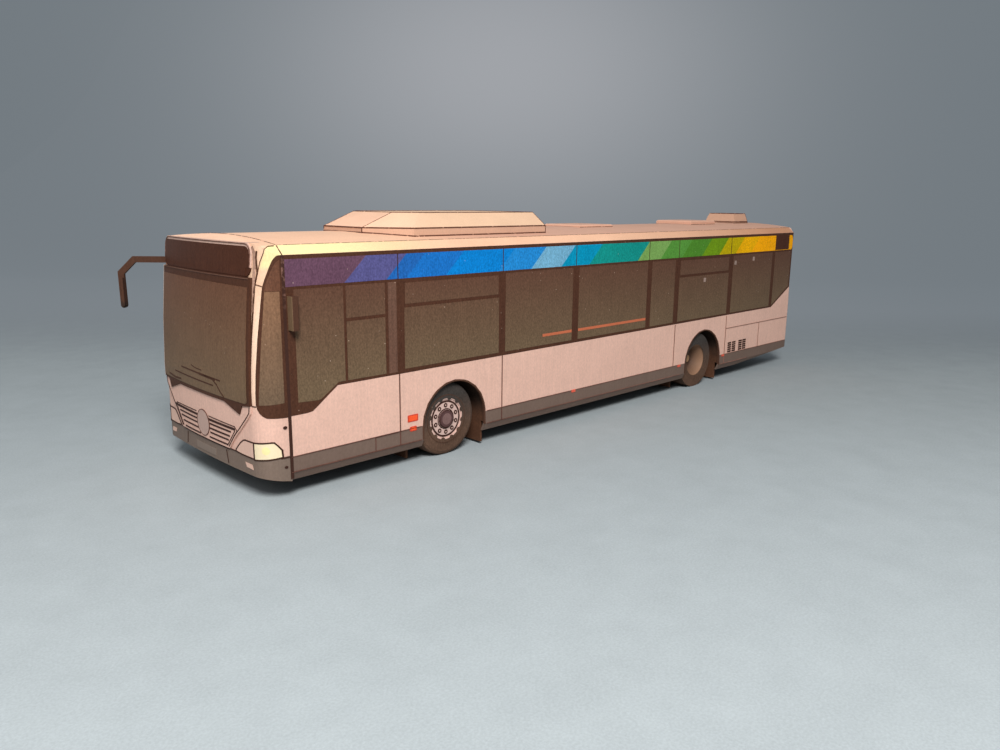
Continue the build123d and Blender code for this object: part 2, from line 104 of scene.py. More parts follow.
INKS = {
    # Card and print of the body, its front corners and its roof; the roof's front is painted paler as painted
    # light, and its edge strips carry a painted highlight that turns to painted shade at the rear
    "white": (224, 183, 166), "pillar_white": (246, 209, 182), "gore_low": (232, 192, 162),
    "skirt": (116, 97, 87), "bumper": (123, 106, 95), "roof": (214, 168, 145),
    "roof_front": (238, 193, 162), "cove": (230, 184, 154), "cove_front": (236, 219, 163),
    "cove_rear": (194, 143, 112), "paper": (240, 212, 190),
    # Windows, doors and signs
    "frame": (78, 49, 36), "pillar": (104, 75, 62), "glass_high": (96, 67, 53),
    "glass_low": (109, 90, 69), "screen_high": (107, 73, 55), "screen_low": (117, 94, 72),
    "corner_high": (128, 95, 72), "corner_low": (108, 88, 70), "corner_head": (100, 66, 50),
    "display": (76, 44, 31), "rail": (196, 108, 76), "sticker": (156, 134, 124),
    "sign_rim": (206, 172, 156), "rim_shade": (170, 134, 116),
    # Printed lines from front to rear, pen strokes and inked edges
    "line": (64, 41, 34), "fold": (104, 70, 61), "fold_rear": (142, 104, 91), "pen": (94, 60, 48),
    "edge": (84, 58, 46),
    # Lamps, reflectors, grille disc and plate
    "lamp_orange": (246, 92, 50), "lamp_edge": (206, 74, 54), "lamp_white": (240, 222, 186),
    "lamp_inner": (222, 184, 166), "lamp_core": (244, 230, 168), "lamp_red": (176, 40, 30),
    "reflector": (222, 98, 78), "disc": (190, 160, 148), "plate": (134, 118, 107),
    # Underside, wheel wells, wheels and axle rods; the rear rims get painted shade deep in their dishes
    "dark_card": (58, 44, 37), "flap": (92, 62, 46), "tyre": (92, 70, 57), "tyre_high": (64, 59, 56),
    "rim": (216, 182, 170), "rim_dish": (208, 178, 168), "hub": (86, 61, 60),
    "hub_middle": (120, 93, 90), "dish": (146, 113, 90), "dish_deep": (72, 54, 45),
    "wood": (164, 130, 99),
    # Roof housings and mirrors; the front of the pod's lid gets a paler painted light
    "pod": (222, 186, 156), "pod_nose": (238, 192, 163), "pod_side": (206, 166, 142),
    "rear_pod": (196, 156, 132), "mirror": (78, 52, 40), "mirror_face": (113, 90, 68),
    # Paper sweep: near, far, where it starts to rise, and its raised end
    "floor": (172, 181, 185), "floor_far": (157, 166, 170), "floor_end": (146, 155, 160),
    "wall": (114, 122, 128), "wall_glow": (160, 163, 168),
}

STRIPE = [
    ("plum", 0.0, (99, 69, 87)), ("violet", 14.6, (85, 83, 133)), ("royal", 21.0, (32, 97, 172)),
    ("azure", 24.6, (25, 108, 188)), ("sky", 31.4, (6, 124, 202)), ("cornflower", 41.6, (33, 132, 203)),
    ("pale_blue", 48.85, (113, 170, 201)), ("cyan", 56.0, (0, 145, 185)), ("teal", 63.2, (16, 142, 134)),
    ("sage", 76.6, (120, 162, 86)), ("leaf", 84.2, (84, 144, 58)), ("grass", 91.0, (76, 133, 42)),
    ("moss", 98.4, (108, 146, 20)), ("lime", 104.6, (190, 168, 0)), ("yellow", 111.4, (238, 176, 0)),
    ("amber", 118.0, (252, 172, 0)),
]

SIZES = {
    "layer": ("Height of one printed layer over the one under it", 0.02),
    "hairline": ("Width of the printed panel lines", 0.15),
    "seam": ("Width of the inked seam between mask and sides", 0.42),
    "band_foot": ("Height of the lower edge of the window band", 13.65),
    "band_top": ("Height of the dark line over the stripe", 30.53),
    "glass_foot": ("Height of the lower edge of the panes", 14.28),
    "glass_top": ("Height of the upper edge of the panes", 26.35),
    "stripe_foot": ("Height of the lower edge of the stripe", 26.72),
    "stripe_top": ("Height of the upper edge of the stripe", 30.02),
    "stripe_slant": ("How far the stripe's blocks lean back over their height", 3.4),
    "skirt_top": ("Height where the grey skirt print ends", 5.5),
    "hem": ("Height of the fold above the hem", 3.45),
}


class CardBusInks(bpy.types.PropertyGroup):
    """Colours of the prints and card of the bus."""
    __annotations__ = ink_settings(INKS)


class CardBusStripe(bpy.types.PropertyGroup):
    """Colours of the slanted blocks of the stripe, from front to rear."""
    __annotations__ = ink_settings({key: colour for key, _, colour in STRIPE})


class CardBusSizes(bpy.types.PropertyGroup):
    """Heights and widths of the prints."""
    __annotations__ = {key: FloatProperty(name=title(key), description=words + ", in millimetres",
                                          default=value, min=0.0, soft_max=150.0)
                       for key, (words, value) in SIZES.items()}


def ink(key):
    return getattr(bpy.context.scene.card_bus_inks, key)


def size(key):
    return getattr(bpy.context.scene.card_bus_sizes, key)


# ---- Where things are ------------------------------------------------------------------------
def along(station):
    return NOSE - station * MM


def up(height):
    return ROAD + height * MM


def left(station, height):
    return Vector((along(station), SIDE, up(height)))


def right(station, height):
    return Vector((along(station), -SIDE, up(height)))


def ahead(offset, height):
    return Vector((NOSE + MM, offset * MM, up(height)))


def behind(offset, height):
    return Vector((TAIL - MM, offset * MM, up(height)))


def left_corner(reach, height):
    """Square on to the left front corner; the reach runs back round it from its middle."""
    shift = reach * DIAGONAL
    return Vector((NOSE + (CLEAR - shift) * MM, SIDE + (CLEAR + shift) * MM, up(height)))


def right_corner(reach, height):
    place = left_corner(reach, height)
    return Vector((place.x, -place.y, place.z))


VIEWS = {
    left: ((-QUARTER, 0, 0), Vector((0, 1, 0))),
    right: ((QUARTER, 0, 0), Vector((0, -1, 0))),
    ahead: ((0, QUARTER, 0), Vector((1, 0, 0))),
    behind: ((0, -QUARTER, 0), Vector((-1, 0, 0))),
    left_corner: ((-QUARTER, 0, -QUARTER / 2), Vector((DIAGONAL, DIAGONAL, 0))),
    right_corner: ((QUARTER, 0, QUARTER / 2), Vector((DIAGONAL, -DIAGONAL, 0))),
}
SIDES = {left: "left_", right: "right_"}
CORNERS = {left_corner: "left_", right_corner: "right_"}


def mirrored(points, hand=-1):
    """Points on the other hand of the middle line, or the same points for a hand of 1."""
    return [(hand * a, b) for a, b in points]


# ---- Shaping ---------------------------------------------------------------------------------
def enter(mode):
    bpy.ops.object.mode_set(mode=mode)


def deselect():
    if bpy.context.object and bpy.context.object.mode != "OBJECT":
        enter("OBJECT")
    bpy.ops.object.select_all(action="DESELECT")


def pick(piece):
    """Make this the one selected object, and the active one."""
    deselect()
    piece.select_set(True)
    bpy.context.view_layer.objects.active = piece


def settle(piece):
    """Put the piece's place in its mesh, and leave its object at the origin."""
    pick(piece)
    bpy.ops.object.transform_apply(location=True, rotation=True, scale=True)
    return piece


def cut(point, normal, clear=False):
    """Cut the whole mesh being edited by a plane, and drop what lies beyond it if asked."""
    bpy.ops.mesh.select_all(action="SELECT")
    bpy.ops.mesh.bisect(plane_co=point, plane_no=normal, clear_outer=clear, threshold=FINE)


def select_where(mesh, test):
    """Select the vertices that pass a test, and the edges between them."""
    for polygon in mesh.polygons:
        polygon.select = False
    for vertex in mesh.vertices:
        vertex.select = test(vertex.co)
    for edge in mesh.edges:
        edge.select = all(mesh.vertices[end].select for end in edge.vertices)


def patch(view, outline, rounding=0.0):
    """A flat shape with outward-bowed corners only: a plane cut along each edge of its outline."""
    turn, normal = VIEWS[view]
    corners = [view(a, b) for a, b in outline]
    centre = sum(corners, Vector()) / len(corners)
    reach = max((corner - centre).length for corner in corners)
    deselect()
    bpy.ops.mesh.primitive_plane_add(size=2.5 * reach, location=centre, rotation=turn)
    enter("EDIT")
    for start, end in zip(corners, corners[1:] + corners[:1]):
        outward = (end - start).cross(normal).normalized()
        if outward.dot(centre - start) > 0:
            outward.negate()
        cut(start, outward, clear=True)
    if rounding:
        bpy.ops.mesh.select_all(action="SELECT")
        bpy.ops.mesh.bevel(offset=rounding * MM, segments=4, affect="VERTICES")
    enter("OBJECT")
    return settle(bpy.context.object)


def block(first, second, rounding=0.0):
    """A rectangle between two opposite corners, as a shape for lay()."""
    (a, b), (c, d) = first, second
    return patch, [(a, b), (c, b), (c, d), (a, d)], rounding


def spots(centres, half_width, half_height, rounding):
    """Equal small rectangles about their middles."""
    return [block((a - half_width, b - half_height), (a + half_width, b + half_height), rounding)
            for a, b in centres]


def line(start, end, width):
    """A straight ruled line of even width, square at both ends."""
    a, b = Vector(start), Vector(end)
    across = (b - a).orthogonal().normalized() * width / 2
    run = (b - a).normalized() * width / 2
    return patch, [a - run + across, b + run + across, b + run - across, a - run - across]


def lines(points, width, closed=False):
    """A ruled line through several points."""
    ends = points[1:] + (points[:1] if closed else [])
    return [line(a, b, width) for a, b in zip(points, ends)]


def disc(view, centre, radius, sides=32):
    deselect()
    bpy.ops.mesh.primitive_circle_add(vertices=sides, radius=radius * MM, fill_type="NGON",
                                      location=view(*centre), rotation=VIEWS[view][0])
    return settle(bpy.context.object)


def ring(view, centre, radius, width):
    """A flat ring: a disc whose middle is inset and removed."""
    piece = disc(view, centre, radius, 48)
    enter("EDIT")
    bpy.ops.mesh.select_all(action="SELECT")
    bpy.ops.mesh.inset(thickness=width * MM)
    bpy.ops.mesh.delete(type="FACE")
    enter("OBJECT")
    return piece


def joined(parts):
    deselect()
    for part in parts:
        part.select_set(True)
    bpy.context.view_layer.objects.active = parts[0]
    if len(parts) > 1:
        bpy.ops.object.join()
    return bpy.context.object


def both_ways(places):
    return sorted({sign * place for place in places for sign in (1, -1)})


BOW = [0, 1.5, 3.0, 4.5, 6.0, 7.5, 9.0, 10.5, 11.4, 11.9, 12.3, 12.7, 13.0]
REAR_CORNER = [13.3, 13.6, 13.8, 14.0, 14.15, 14.3, 14.4, 14.5, 14.58]
ROUND_CORNER = [0.25 * step for step in range(-8, 15)]
FOLDS = {ahead: both_ways(BOW), behind: both_ways(BOW + REAR_CORNER),
         left_corner: ROUND_CORNER, right_corner: ROUND_CORNER}
FOLD_HEIGHTS = [3, 5, 7, 9, 11, 13, 14, 15, 17, 19, 20.5, 22, 24, 26, 27.5, 29, 29.7, 30.55, 31.1]
BENT_LIFT = 0.03


def score(piece, view):
    """Cut a flat shape along both of its drawing directions, so that it can follow a bend."""
    pick(piece)
    for places, (a, b) in ((FOLDS[view], (1, 0)), (FOLD_HEIGHTS, (0, 1))):
        normal = (view(a, b) - view(0, 0)).normalized()
        spans = [vertex.co.dot(normal) for vertex in piece.data.vertices]
        low, high = min(spans), max(spans)
        enter("EDIT")
        for point in (view(a * place, b * place) for place in places):
            if low < point.dot(normal) < high:
                cut(point, normal)
        enter("OBJECT")


def apply(piece, modifier):
    pick(piece)
    bpy.ops.object.modifier_apply(modifier=modifier.name)


def bend_onto(piece, node, view, lift):
    """Lay a flat shape on a curved sheet: score it, then press it down along the view."""
    normal = VIEWS[view][1]
    score(piece, view)
    if view is right_corner:
        # A projection runs along the object's own axes, so the object is turned to the corner's view
        piece.rotation_euler.z = QUARTER
        settle(piece)
        piece.rotation_euler.z = -QUARTER
    press = piece.modifiers.new("press", "SHRINKWRAP")
    press.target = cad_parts[node]
    press.wrap_method = "PROJECT"
    press.wrap_mode = "ABOVE_SURFACE"
    for letter, share in zip("xyz", normal):
        setattr(press, "use_project_" + letter, abs(share) > 0.5)
    press.use_positive_direction = normal.x + normal.z + normal.y * (view is not right_corner) < 0
    press.use_negative_direction = not press.use_positive_direction
    press.offset = lift
    apply(piece, press)
    settle(piece)
    trim(piece, normal, view(0, 0).dot(normal))


def trim(piece, normal, flat):
    """Cut away what hangs over the sheet's outline, which is still at the level it was drawn at."""
    pick(piece)
    select_where(piece.data, lambda place: abs(place.dot(normal) - flat) < 0.01 * MM)
    enter("EDIT")
    bpy.ops.mesh.select_mode(type="VERT")
    bpy.ops.mesh.delete(type="VERT")
    enter("OBJECT")


def thicken(piece, depth):
    """Give a paper shape its thickness, towards what it lies on."""
    wall = piece.modifiers.new("paper", "SOLIDIFY")
    wall.thickness = depth
    wall.offset = -1
    wall.use_even_offset = False
    apply(piece, wall)


def place(piece, name, material, slot, body):
    """Name a finished piece, give it its material and let it ride on a body."""
    piece.name = piece.data.name = name
    piece.data.materials.clear()
    piece.data.materials.append(finish(material))
    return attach(piece, body)


# The curved sheet that each view draws on unless told otherwise, and the slot of each sheet's print
SHEETS = {ahead: "front_mask", left_corner: "front_mask", right_corner: "front_mask", behind: "rear_cap"}
SHEET_SLOTS = {None: "side_print", "front_mask": "front_print", "rear_cap": "rear_print",
               "windscreen": "windscreen_print", "grille_panel": "grille_print",
               "destination_panel": "destination_print"}


def lay(name, view, layers, material, *shapes, onto=None, slot=None, body="bus_body", lift=0.0):
    """Draw shapes, join them, lay them on their sheet and let the piece ride on a body."""
    onto = onto or SHEETS.get(view)
    piece = joined([draw(view, *values) for draw, *values in shapes])
    depth = layers * size("layer") * MM
    if onto:
        depth += BENT_LIFT * MM
        bend_onto(piece, onto, view, depth)
    else:
        bpy.ops.transform.translate(value=VIEWS[view][1] * (lift * MM + depth))
        settle(piece)
    thicken(piece, depth - 0.003 * MM)
    return place(piece, name, material, slot or SHEET_SLOTS[onto], body)


def lay_all(views, *rows, **where):
    """Lay rows of name, layer, material and shapes in views that map to how their names start."""
    for view, start in views.items():
        for name, *row in rows:
            lay(start + name, view, *row, **where)


# ---- Card and ink ----------------------------------------------------------------------------
SPECULAR = 0.1
GRAIN_PITCH = 0.22  # pitches of the paper's textures, in millimetres
STREAK_PITCH, STREAK_LENGTH = 0.3, 24
CLOUD_PITCH = 4.5
CONTRAST = 2.4  # of a texture that varies by one about its middle
SPECK_CELL = 0.95
SPECK_RIM = (0.03, 0.1)  # where a speck fades out, as shares of its cell
SPECKLESS_SHARE = 0.8  # of the cells


class Recipe:
    """Builds one material's nodes. A colour is an ink's key, three numbers or a node's output."""

    def __init__(self, name, roughness):
        self.material = bpy.data.materials.new(name)
        self.material.use_nodes = True
        self.tree = self.material.node_tree
        self.shader = self.tree.nodes["Principled BSDF"].inputs
        self.shader["Roughness"].default_value = roughness
        self.shader["Specular IOR Level"].default_value = SPECULAR
        self.place = self.add("TexCoord").outputs["Object"]

    def add(self, kind, feeds=None, **settings):
        """A node with its settings, and what its inputs take."""
        made = self.tree.nodes.new("ShaderNode" + kind)
        for key, value in settings.items():
            setattr(made, key, value)
        for key, value in (feeds or {}).items():
            self.feed(made.inputs[key], value)
        return made

    def feed(self, socket, value):
        if isinstance(value, str):
            value = ink(value)
        if hasattr(value, "is_output"):
            self.tree.links.new(value, socket)
        elif socket.type == "RGBA":
            socket.default_value = (*value, 1.0)
        else:
            socket.default_value = value

    def math(self, operation, first, second=0.0, third=0.0):
        return self.add("Math", {0: first, 1: second, 2: third}, operation=operation).outputs[0]

    def scaled(self, scale):
        return self.add("Mapping", {"Vector": self.place, "Scale": scale}).outputs[0]

    def noise(self, pitch, stretch=(1, 1, 1), detail=2.0, rough=0.5):
        """Noise with one bump about each pitch millimetres, stretched along the axes."""
        place = self.scaled([1 / (pitch * MM * s) for s in stretch])
        return self.add("TexNoise", {"Vector": place, "Scale": 1.0, "Detail": detail,
                                     "Roughness": rough}).outputs[0]

    def mix(self, share, first, second):
        return self.add("Mix", {0: share, 6: first, 7: second}, data_type="RGBA").outputs[2]

    def between(self, value, low, high, first=0.0, second=1.0, smooth=False):
        return self.add("MapRange", dict(enumerate((value, low, high, first, second))),
                        interpolation_type="SMOOTHSTEP" if smooth else "LINEAR").outputs[0]

    def part(self, axis):
        """One coordinate of the place, in metres."""
        return self.add("SeparateXYZ", {0: self.place}).outputs[axis]

    def height(self):
        return self.part(2)

    def aside(self):
        return self.math("ABSOLUTE", self.part(1))

    def station(self):
        return self.minus(NOSE, self.part(0))

    def along(self, direction, start):
        """Distance of the place from a point along a direction, in metres."""
        reach = self.add("VectorMath", {0: self.place, 1: direction}, operation="DOT_PRODUCT")
        return self.minus(reach.outputs["Value"], start.dot(direction))

    def rising(self, low, high, smooth=False):
        """From 0 to 1 between two heights above the road."""
        return self.between(self.height(), up(low), up(high), smooth=smooth)

    def upwards(self, low, high, low_colour, high_colour):
        return self.mix(self.rising(low, high), low_colour, high_colour)

    def printed(self, colour, grain=0.10, streak=0.05, cloud=0.05, specks=0.0, bumpy=0.02):
        """Paper surface: fine grain, upright streaks of the print head, soft clouds and bare specks."""
        fine = self.noise(GRAIN_PITCH, (1, 1, 1.5), 3.0, 0.6)
        rows = self.noise(STREAK_PITCH, (1, 1, STREAK_LENGTH), 1.0)
        soft = self.noise(CLOUD_PITCH)
        tone = 1.0
        for texture, depth in ((fine, grain), (rows, streak), (soft, cloud)):
            tone = self.math("MULTIPLY_ADD", self.minus(texture, 0.5), CONTRAST * depth, tone)
        if not hasattr(colour, "is_output"):
            colour = self.add("CombineXYZ", dict(enumerate(ink(colour)))).outputs[0]
        result = self.add("VectorMath", {0: colour, "Scale": tone}, operation="SCALE").outputs[0]
        if specks:
            cells = self.add("TexVoronoi", {"Vector": self.scaled([1 / (SPECK_CELL * MM)] * 3),
                                            "Scale": 1.0}).outputs
            chosen = self.add("SeparateColor", {0: cells["Color"]}).outputs[0]
            dots = self.times(self.between(cells["Distance"], *SPECK_RIM, 1.0, 0.0),
                              self.over(chosen, SPECKLESS_SHARE))
            result = self.mix(self.times(dots, specks), result, "paper")
        self.feed(self.shader["Base Color"], result)
        bump = self.add("Bump", {"Strength": 0.5, "Distance": bumpy * MM, "Height": fine})
        self.feed(self.shader["Normal"], bump.outputs[0])


for name, operation in {"plus": "ADD", "minus": "SUBTRACT", "times": "MULTIPLY", "divided": "DIVIDE",
                        "over": "GREATER_THAN", "under": "LESS_THAN", "larger": "MAXIMUM"}.items():
    setattr(Recipe, name, partialmethod(Recipe.math, operation))

RULES = {}


def surface(roughness, *looks, name=None):
    """Take a colour rule as a material, with its roughness and the values that printed() takes."""
    def keep(rule):
        RULES[name or rule.__name__] = (roughness, looks, rule)
        return rule
    return keep


def finish(name):
    """The named material, made once."""
    own = "bus_" + name
    if own not in bpy.data.materials:
        roughness, looks, rule = RULES[name]
        recipe = Recipe(own, roughness)
        recipe.printed(rule(recipe), *looks)
        if name == "floor_sheet":
            light_raised_end(recipe)
    return bpy.data.materials[own]


# Material: ink, roughness, grain, streak, cloud, specks, bumpy
PLAIN = {
    "white_print": ("white", 0.55, 0.16, 0.06, 0.05),
    "frame_print": ("frame", 0.5, 0.45, 0.16, 0.08, 0.35),
    "pillar_print": ("pillar", 0.5, 0.45, 0.16, 0.08, 0.4),
    "sign_print": ("display", 0.5, 0.45, 0.16, 0.08, 0.2),
    "corner_head": ("corner_head", 0.5, 0.45, 0.16, 0.08, 0.2),
    "line_ink": ("line", 0.6, 0.3, 0.05, 0.15),
    "pen_ink": ("pen", 0.55, 0.4, 0.05, 0.2),
    "edge_ink": ("edge", 0.75, 0.3, 0.05, 0.22, 0.25, 0.05),
    "rail_print": ("rail", 0.55, 0.2),
    "orange_print": ("lamp_orange", 0.5, 0.15),
    "red_print": ("lamp_red", 0.5, 0.15),
    "lamp_print": ("lamp_white", 0.45, 0.05),
    "inner_lamp_print": ("lamp_inner", 0.45, 0.08),
    "core_print": ("lamp_core", 0.45, 0.1),
    "lamp_edge_print": ("lamp_edge", 0.55, 0.25),
    "reflector_print": ("reflector", 0.55, 0.25, 0.05, 0.15),
    "sticker_print": ("sticker", 0.55, 0.3, 0.05, 0.2),
    "rim_shade_print": ("rim_shade", 0.55, 0.6, 0.05, 0.4),
    "screen_seam_print": ("pillar", 0.55, 0.4, 0.05, 0.2),
    "disc_print": ("disc", 0.5, 0.1),
    "plate_print": ("plate", 0.5, 0.12),
    "rim_print": ("rim", 0.55, 0.1, 0.05, 0.08),
    "rim_dish_print": ("rim_dish", 0.55, 0.16, 0.05, 0.1),
    "hub_print": ("hub", 0.6, 0.2, 0.05, 0.2),
    "hub_middle_print": ("hub_middle", 0.55, 0.3, 0.05, 0.2),
    "rear_pod_card": ("rear_pod", 0.55, 0.1, 0.0, 0.08),
    "underside_card": ("dark_card", 0.8, 0.25, 0.05, 0.15),
}
for material, (key, *values) in PLAIN.items():
    surface(*values, name=material)(lambda recipe, key=key: key)

# Pen strokes that have skipped or rubbed away in places: the ground they are on, the share kept
WORN = {"pod_pen": ("pod_side", 0.66), "roof_pen": ("roof", 0.6), "sketch_ink": ("fold_rear", 0.6)}


def worn(recipe, ground, share):
    kept = recipe.between(recipe.noise(0.5, detail=3.0), share - 0.06, share + 0.06)
    return recipe.mix(kept, "pen", ground)


for material, values in WORN.items():
    surface(0.6, 0.15, name=material)(lambda recipe, values=values: worn(recipe, *values))


@surface(0.42, 0.5, 0.11, 0.08, 0.55)
def glass_print(recipe):
    return recipe.upwards(14, 26, "glass_low", "glass_high")


@surface(0.42, 0.45, 0.12, 0.08, 0.3)
def screen_print(recipe):
    return recipe.upwards(14, 27, "screen_low", "screen_high")


@surface(0.42, 0.45, 0.11, 0.08, 0.25)
def corner_glass(recipe):
    return recipe.upwards(13, 25, "corner_low", "corner_high")


@surface(0.55, 0.16, 0.06, 0.05)
def side_card(recipe):
    """White print over a grey skirt, with pen-coloured cut edges at the arches."""
    wander = recipe.minus(recipe.noise(0.5), 0.5)
    height = recipe.math("MULTIPLY_ADD", wander, 0.03 * MM, recipe.height())
    colour = recipe.mix(recipe.under(height, up(size("skirt_top"))), "white", "skirt")
    inside = recipe.under(recipe.aside(), SIDE - 0.03 * MM)
    over_hem = recipe.over(recipe.height(), up(size("hem") + 0.1))
    return recipe.mix(recipe.times(inside, over_hem), colour, "edge")


# Heights at which one tone of the mask, rear or tyre goes over into the next: print, except the painted shade
# at the tyre's top, the painted highlight at the mask's upper corners and the roof's painted light along the
# mask's top
BUMPER_TOP = 5.75
PILLAR_CREAM = (11.6, 13.0)
PILLAR_PINK = (23.0, 27.5)
GORE_HIGHLIGHT = (28.5, 29.5)
MASK_ROOF = (31.45, 31.75)
REAR_GREY_TOP = 5.5
REAR_ROOF = (31.3, 31.8)
TYRE_SLATE = (3.5, 9.0)
# GORE_FOOT is where the painted highlight of the upper corner starts.
GORE_FOOT, GORE_LEAN = 27.05, 0.36  # where the yellowish corner starts, and its edge's run over its rise


@surface(0.5, 0.16, 0.06, 0.06)
def mask_card(recipe):
    """White print over the grey bumper, creamy on the pillars, with a yellowish painted highlight at the
    upper corners and the roof's painted front light along the top.
    """
    height = recipe.height()
    aside = recipe.aside()
    colour = recipe.upwards(*PILLAR_CREAM, "white", "pillar_white")
    colour = recipe.mix(recipe.rising(*PILLAR_PINK, smooth=True), colour, "gore_low")
    # Painted highlight on the upper corners of the mask, in the colour of the roof strip's highlight.
    reach = recipe.times(recipe.plus(recipe.station(), recipe.minus(aside, SIDE)), DIAGONAL)
    inside = recipe.minus(reach, recipe.times(recipe.minus(height, up(GORE_FOOT)), GORE_LEAN))
    gore_highlight = recipe.times(recipe.between(inside, -0.05 * MM, 0.2 * MM),
                        recipe.rising(*GORE_HIGHLIGHT, smooth=True))
    colour = recipe.mix(gore_highlight, colour, "cove_front")
    # Along its top the mask takes the roof's paler front colour, which is painted light.
    top = recipe.times(recipe.rising(*MASK_ROOF), recipe.under(aside, (ROOF_EDGE + 0.02) * MM))
    colour = recipe.mix(top, colour, "roof_front")
    return recipe.mix(recipe.under(height, up(BUMPER_TOP)), colour, "bumper")


@surface(0.5, 0.16, 0.06, 0.06)
def rear_card(recipe):
    """White print of the rear, over grey and under the roof print."""
    colour = recipe.mix(recipe.under(recipe.height(), up(REAR_GREY_TOP)), "white", "skirt")
    return recipe.mix(recipe.rising(*REAR_ROOF), colour, "roof")


@surface(0.5, 0.13, 0.02, 0.07)
def roof_card(recipe):
    """Roof print with painted light: palest at the front where the lamp is nearest, and a folded strip along
    each edge painted as a yellowish highlight at the front that darkens to browner painted shade towards the
    rear.
    """
    station = recipe.station()
    # Painted light: the roof is painted paler towards the front, where the lamp is nearest.
    top = recipe.mix(recipe.between(station, 18 * MM, 46 * MM, smooth=True), "roof_front", "roof")
    # Painted highlight on the folded edge strips, yellowish at the front and fading to painted shade at the
    # rear.
    strip = recipe.mix(recipe.between(station, 65 * MM, 128 * MM), "cove", "cove_rear")
    strip = recipe.mix(recipe.between(station, 6 * MM, 34 * MM, smooth=True), "cove_front", strip)
    return recipe.mix(recipe.over(recipe.aside(), ROOF_EDGE * MM), top, strip)


@surface(0.55, 0.1, 0.0, 0.08)
def pod_card(recipe):
    """Creamy card on the lid and slopes, painted paler at the front as painted light, pinker on the upright
    sides.
    """
    # Painted light: the lid is painted paler towards its front.
    lid = recipe.mix(recipe.between(recipe.station(), 25 * MM, 33 * MM, smooth=True), "pod_nose", "pod")
    return recipe.mix(recipe.under(recipe.height(), up(POD_RIM) - 0.01 * MM), lid, "pod_side")


@surface(0.6, 0.14, 0.0, 0.25)
def dish_card(recipe):
    """Rear rims, with painted shade that makes them darker the deeper they go."""
    # Painted shade: darker towards the bottom of the dish.
    return recipe.mix(recipe.between(recipe.aside(), 11.5 * MM, 13.8 * MM), "dish_deep", "dish")


@surface(0.5, 0.3, 0.05, 0.1)
def sign_panel_card(recipe):
    """Mauve-white rim round the front sign, dark where it meets the windscreen."""
    return recipe.mix(recipe.under(recipe.height(), up(29.0)), "sign_rim", "display")


@surface(0.75, 0.5, 0.0, 0.25, 0.3, 0.05)
def tyre_card(recipe):
    """Brown print, slate towards the top where the arch shades it."""
    return recipe.upwards(*TYRE_SLATE, "tyre", "tyre_high")


@surface(0.6, 0.2)
def seam_ink(recipe):
    """The inked front seam, thinner and browner beside the stripe."""
    rubbed = recipe.between(recipe.noise(0.5, detail=3.0), 0.48, 0.72)
    return recipe.mix(recipe.times(recipe.rising(23.5, 27), rubbed), "line", "fold_rear")


@surface(0.5, 0.45, 0.16, 0.08, 0.35)
def windscreen_card(recipe):
    """Dark print of the windscreen panel, with a bare paper edge at its kerb side."""
    return recipe.mix(recipe.under(recipe.part(1), -12.36 * MM), "frame", "pillar_white")


@surface(0.6, 0.5, 0.05, 0.3)
def fold_ink(recipe):
    """Thin panel lines, fainter towards the rear."""
    return recipe.mix(recipe.between(recipe.station(), 40 * MM, 105 * MM), "fold", "fold_rear")


STRIPE_MIDDLE = 28.2
STRIPE_REACH = 140


@surface(0.5, 0.55, 0.1, 0.1, 0.4)
def stripe_print(recipe):
    """Slanted blocks of colour from plum at the front to amber at the rear."""
    rise = (size("stripe_top") - size("stripe_foot")) * MM
    lean = recipe.times(recipe.minus(recipe.height(), up(STRIPE_MIDDLE)), size("stripe_slant") * MM / rise)
    reach = recipe.minus(NOSE, recipe.plus(recipe.part(0), lean))
    ramp = recipe.add("ValToRGB", {0: recipe.between(reach, 0.0, STRIPE_REACH * MM)})
    ramp.color_ramp.interpolation = "CONSTANT"
    stops = ramp.color_ramp.elements
    stops.remove(stops[1])
    for index, (key, start, _) in enumerate(STRIPE):
        stop = stops.new(start / STRIPE_REACH) if index else stops[0]
        stop.color = (*getattr(bpy.context.scene.card_bus_stripe, key), 1.0)
    return ramp.outputs[0]


@surface(0.8, 0.35, 0.05, 0.25, 0.0, 0.06)
def well_card(recipe):
    """Wheel well: nearly black inside the arch, brown paint towards the foot of the flaps."""
    patchy = recipe.math("MULTIPLY_ADD", recipe.noise(1.2, detail=4.0), 4 * MM, recipe.height())
    return recipe.mix(recipe.between(patchy, up(5.5), up(9.5)), "flap", "dark_card")


@surface(0.6, 0.1)
def wood_rod(recipe):
    rings = recipe.mix(recipe.noise(0.12, (1, 14, 1), 3.0), "wood", "edge")
    return recipe.mix(0.7, rings, "wood")


@surface(0.6, 0.25, 0.05, 0.15)
def left_mirror_card(recipe):
    """Brown card with a paler olive face towards the front."""
    return recipe.mix(recipe.over(recipe.part(0), along(5.1) - 0.05 * MM), "mirror", "mirror_face")


@surface(0.7, 0.3, 0.05, 0.22, 0.0, 0.05)
def right_mirror_card(recipe):
    """Pen-coloured strip, nearly black at its foot."""
    return recipe.mix(recipe.between(recipe.height(), up(22.3), up(22.9), 1.0, 0.0), "mirror", "dark_card")


@surface(0.9, 0.16, 0.0, 0.06)
def floor_sheet(recipe):
    """Pale blue-grey paper, darker away from the lamps."""
    depth = recipe.along(FORWARD, CAMERA_FOOT)
    ground = recipe.mix(recipe.between(depth, 0.05, 0.15), "floor", "floor_far")
    return recipe.mix(recipe.between(depth, 0.15, 0.24, smooth=True), ground, "floor_end")


GLOW_LEVEL, GLOW_RISE, GLOW_SPREAD = 110 * MM, 94 * MM, 142 * MM
RAISED = (0.17, 0.29)  # depths from the camera over which the sheet takes its own tone


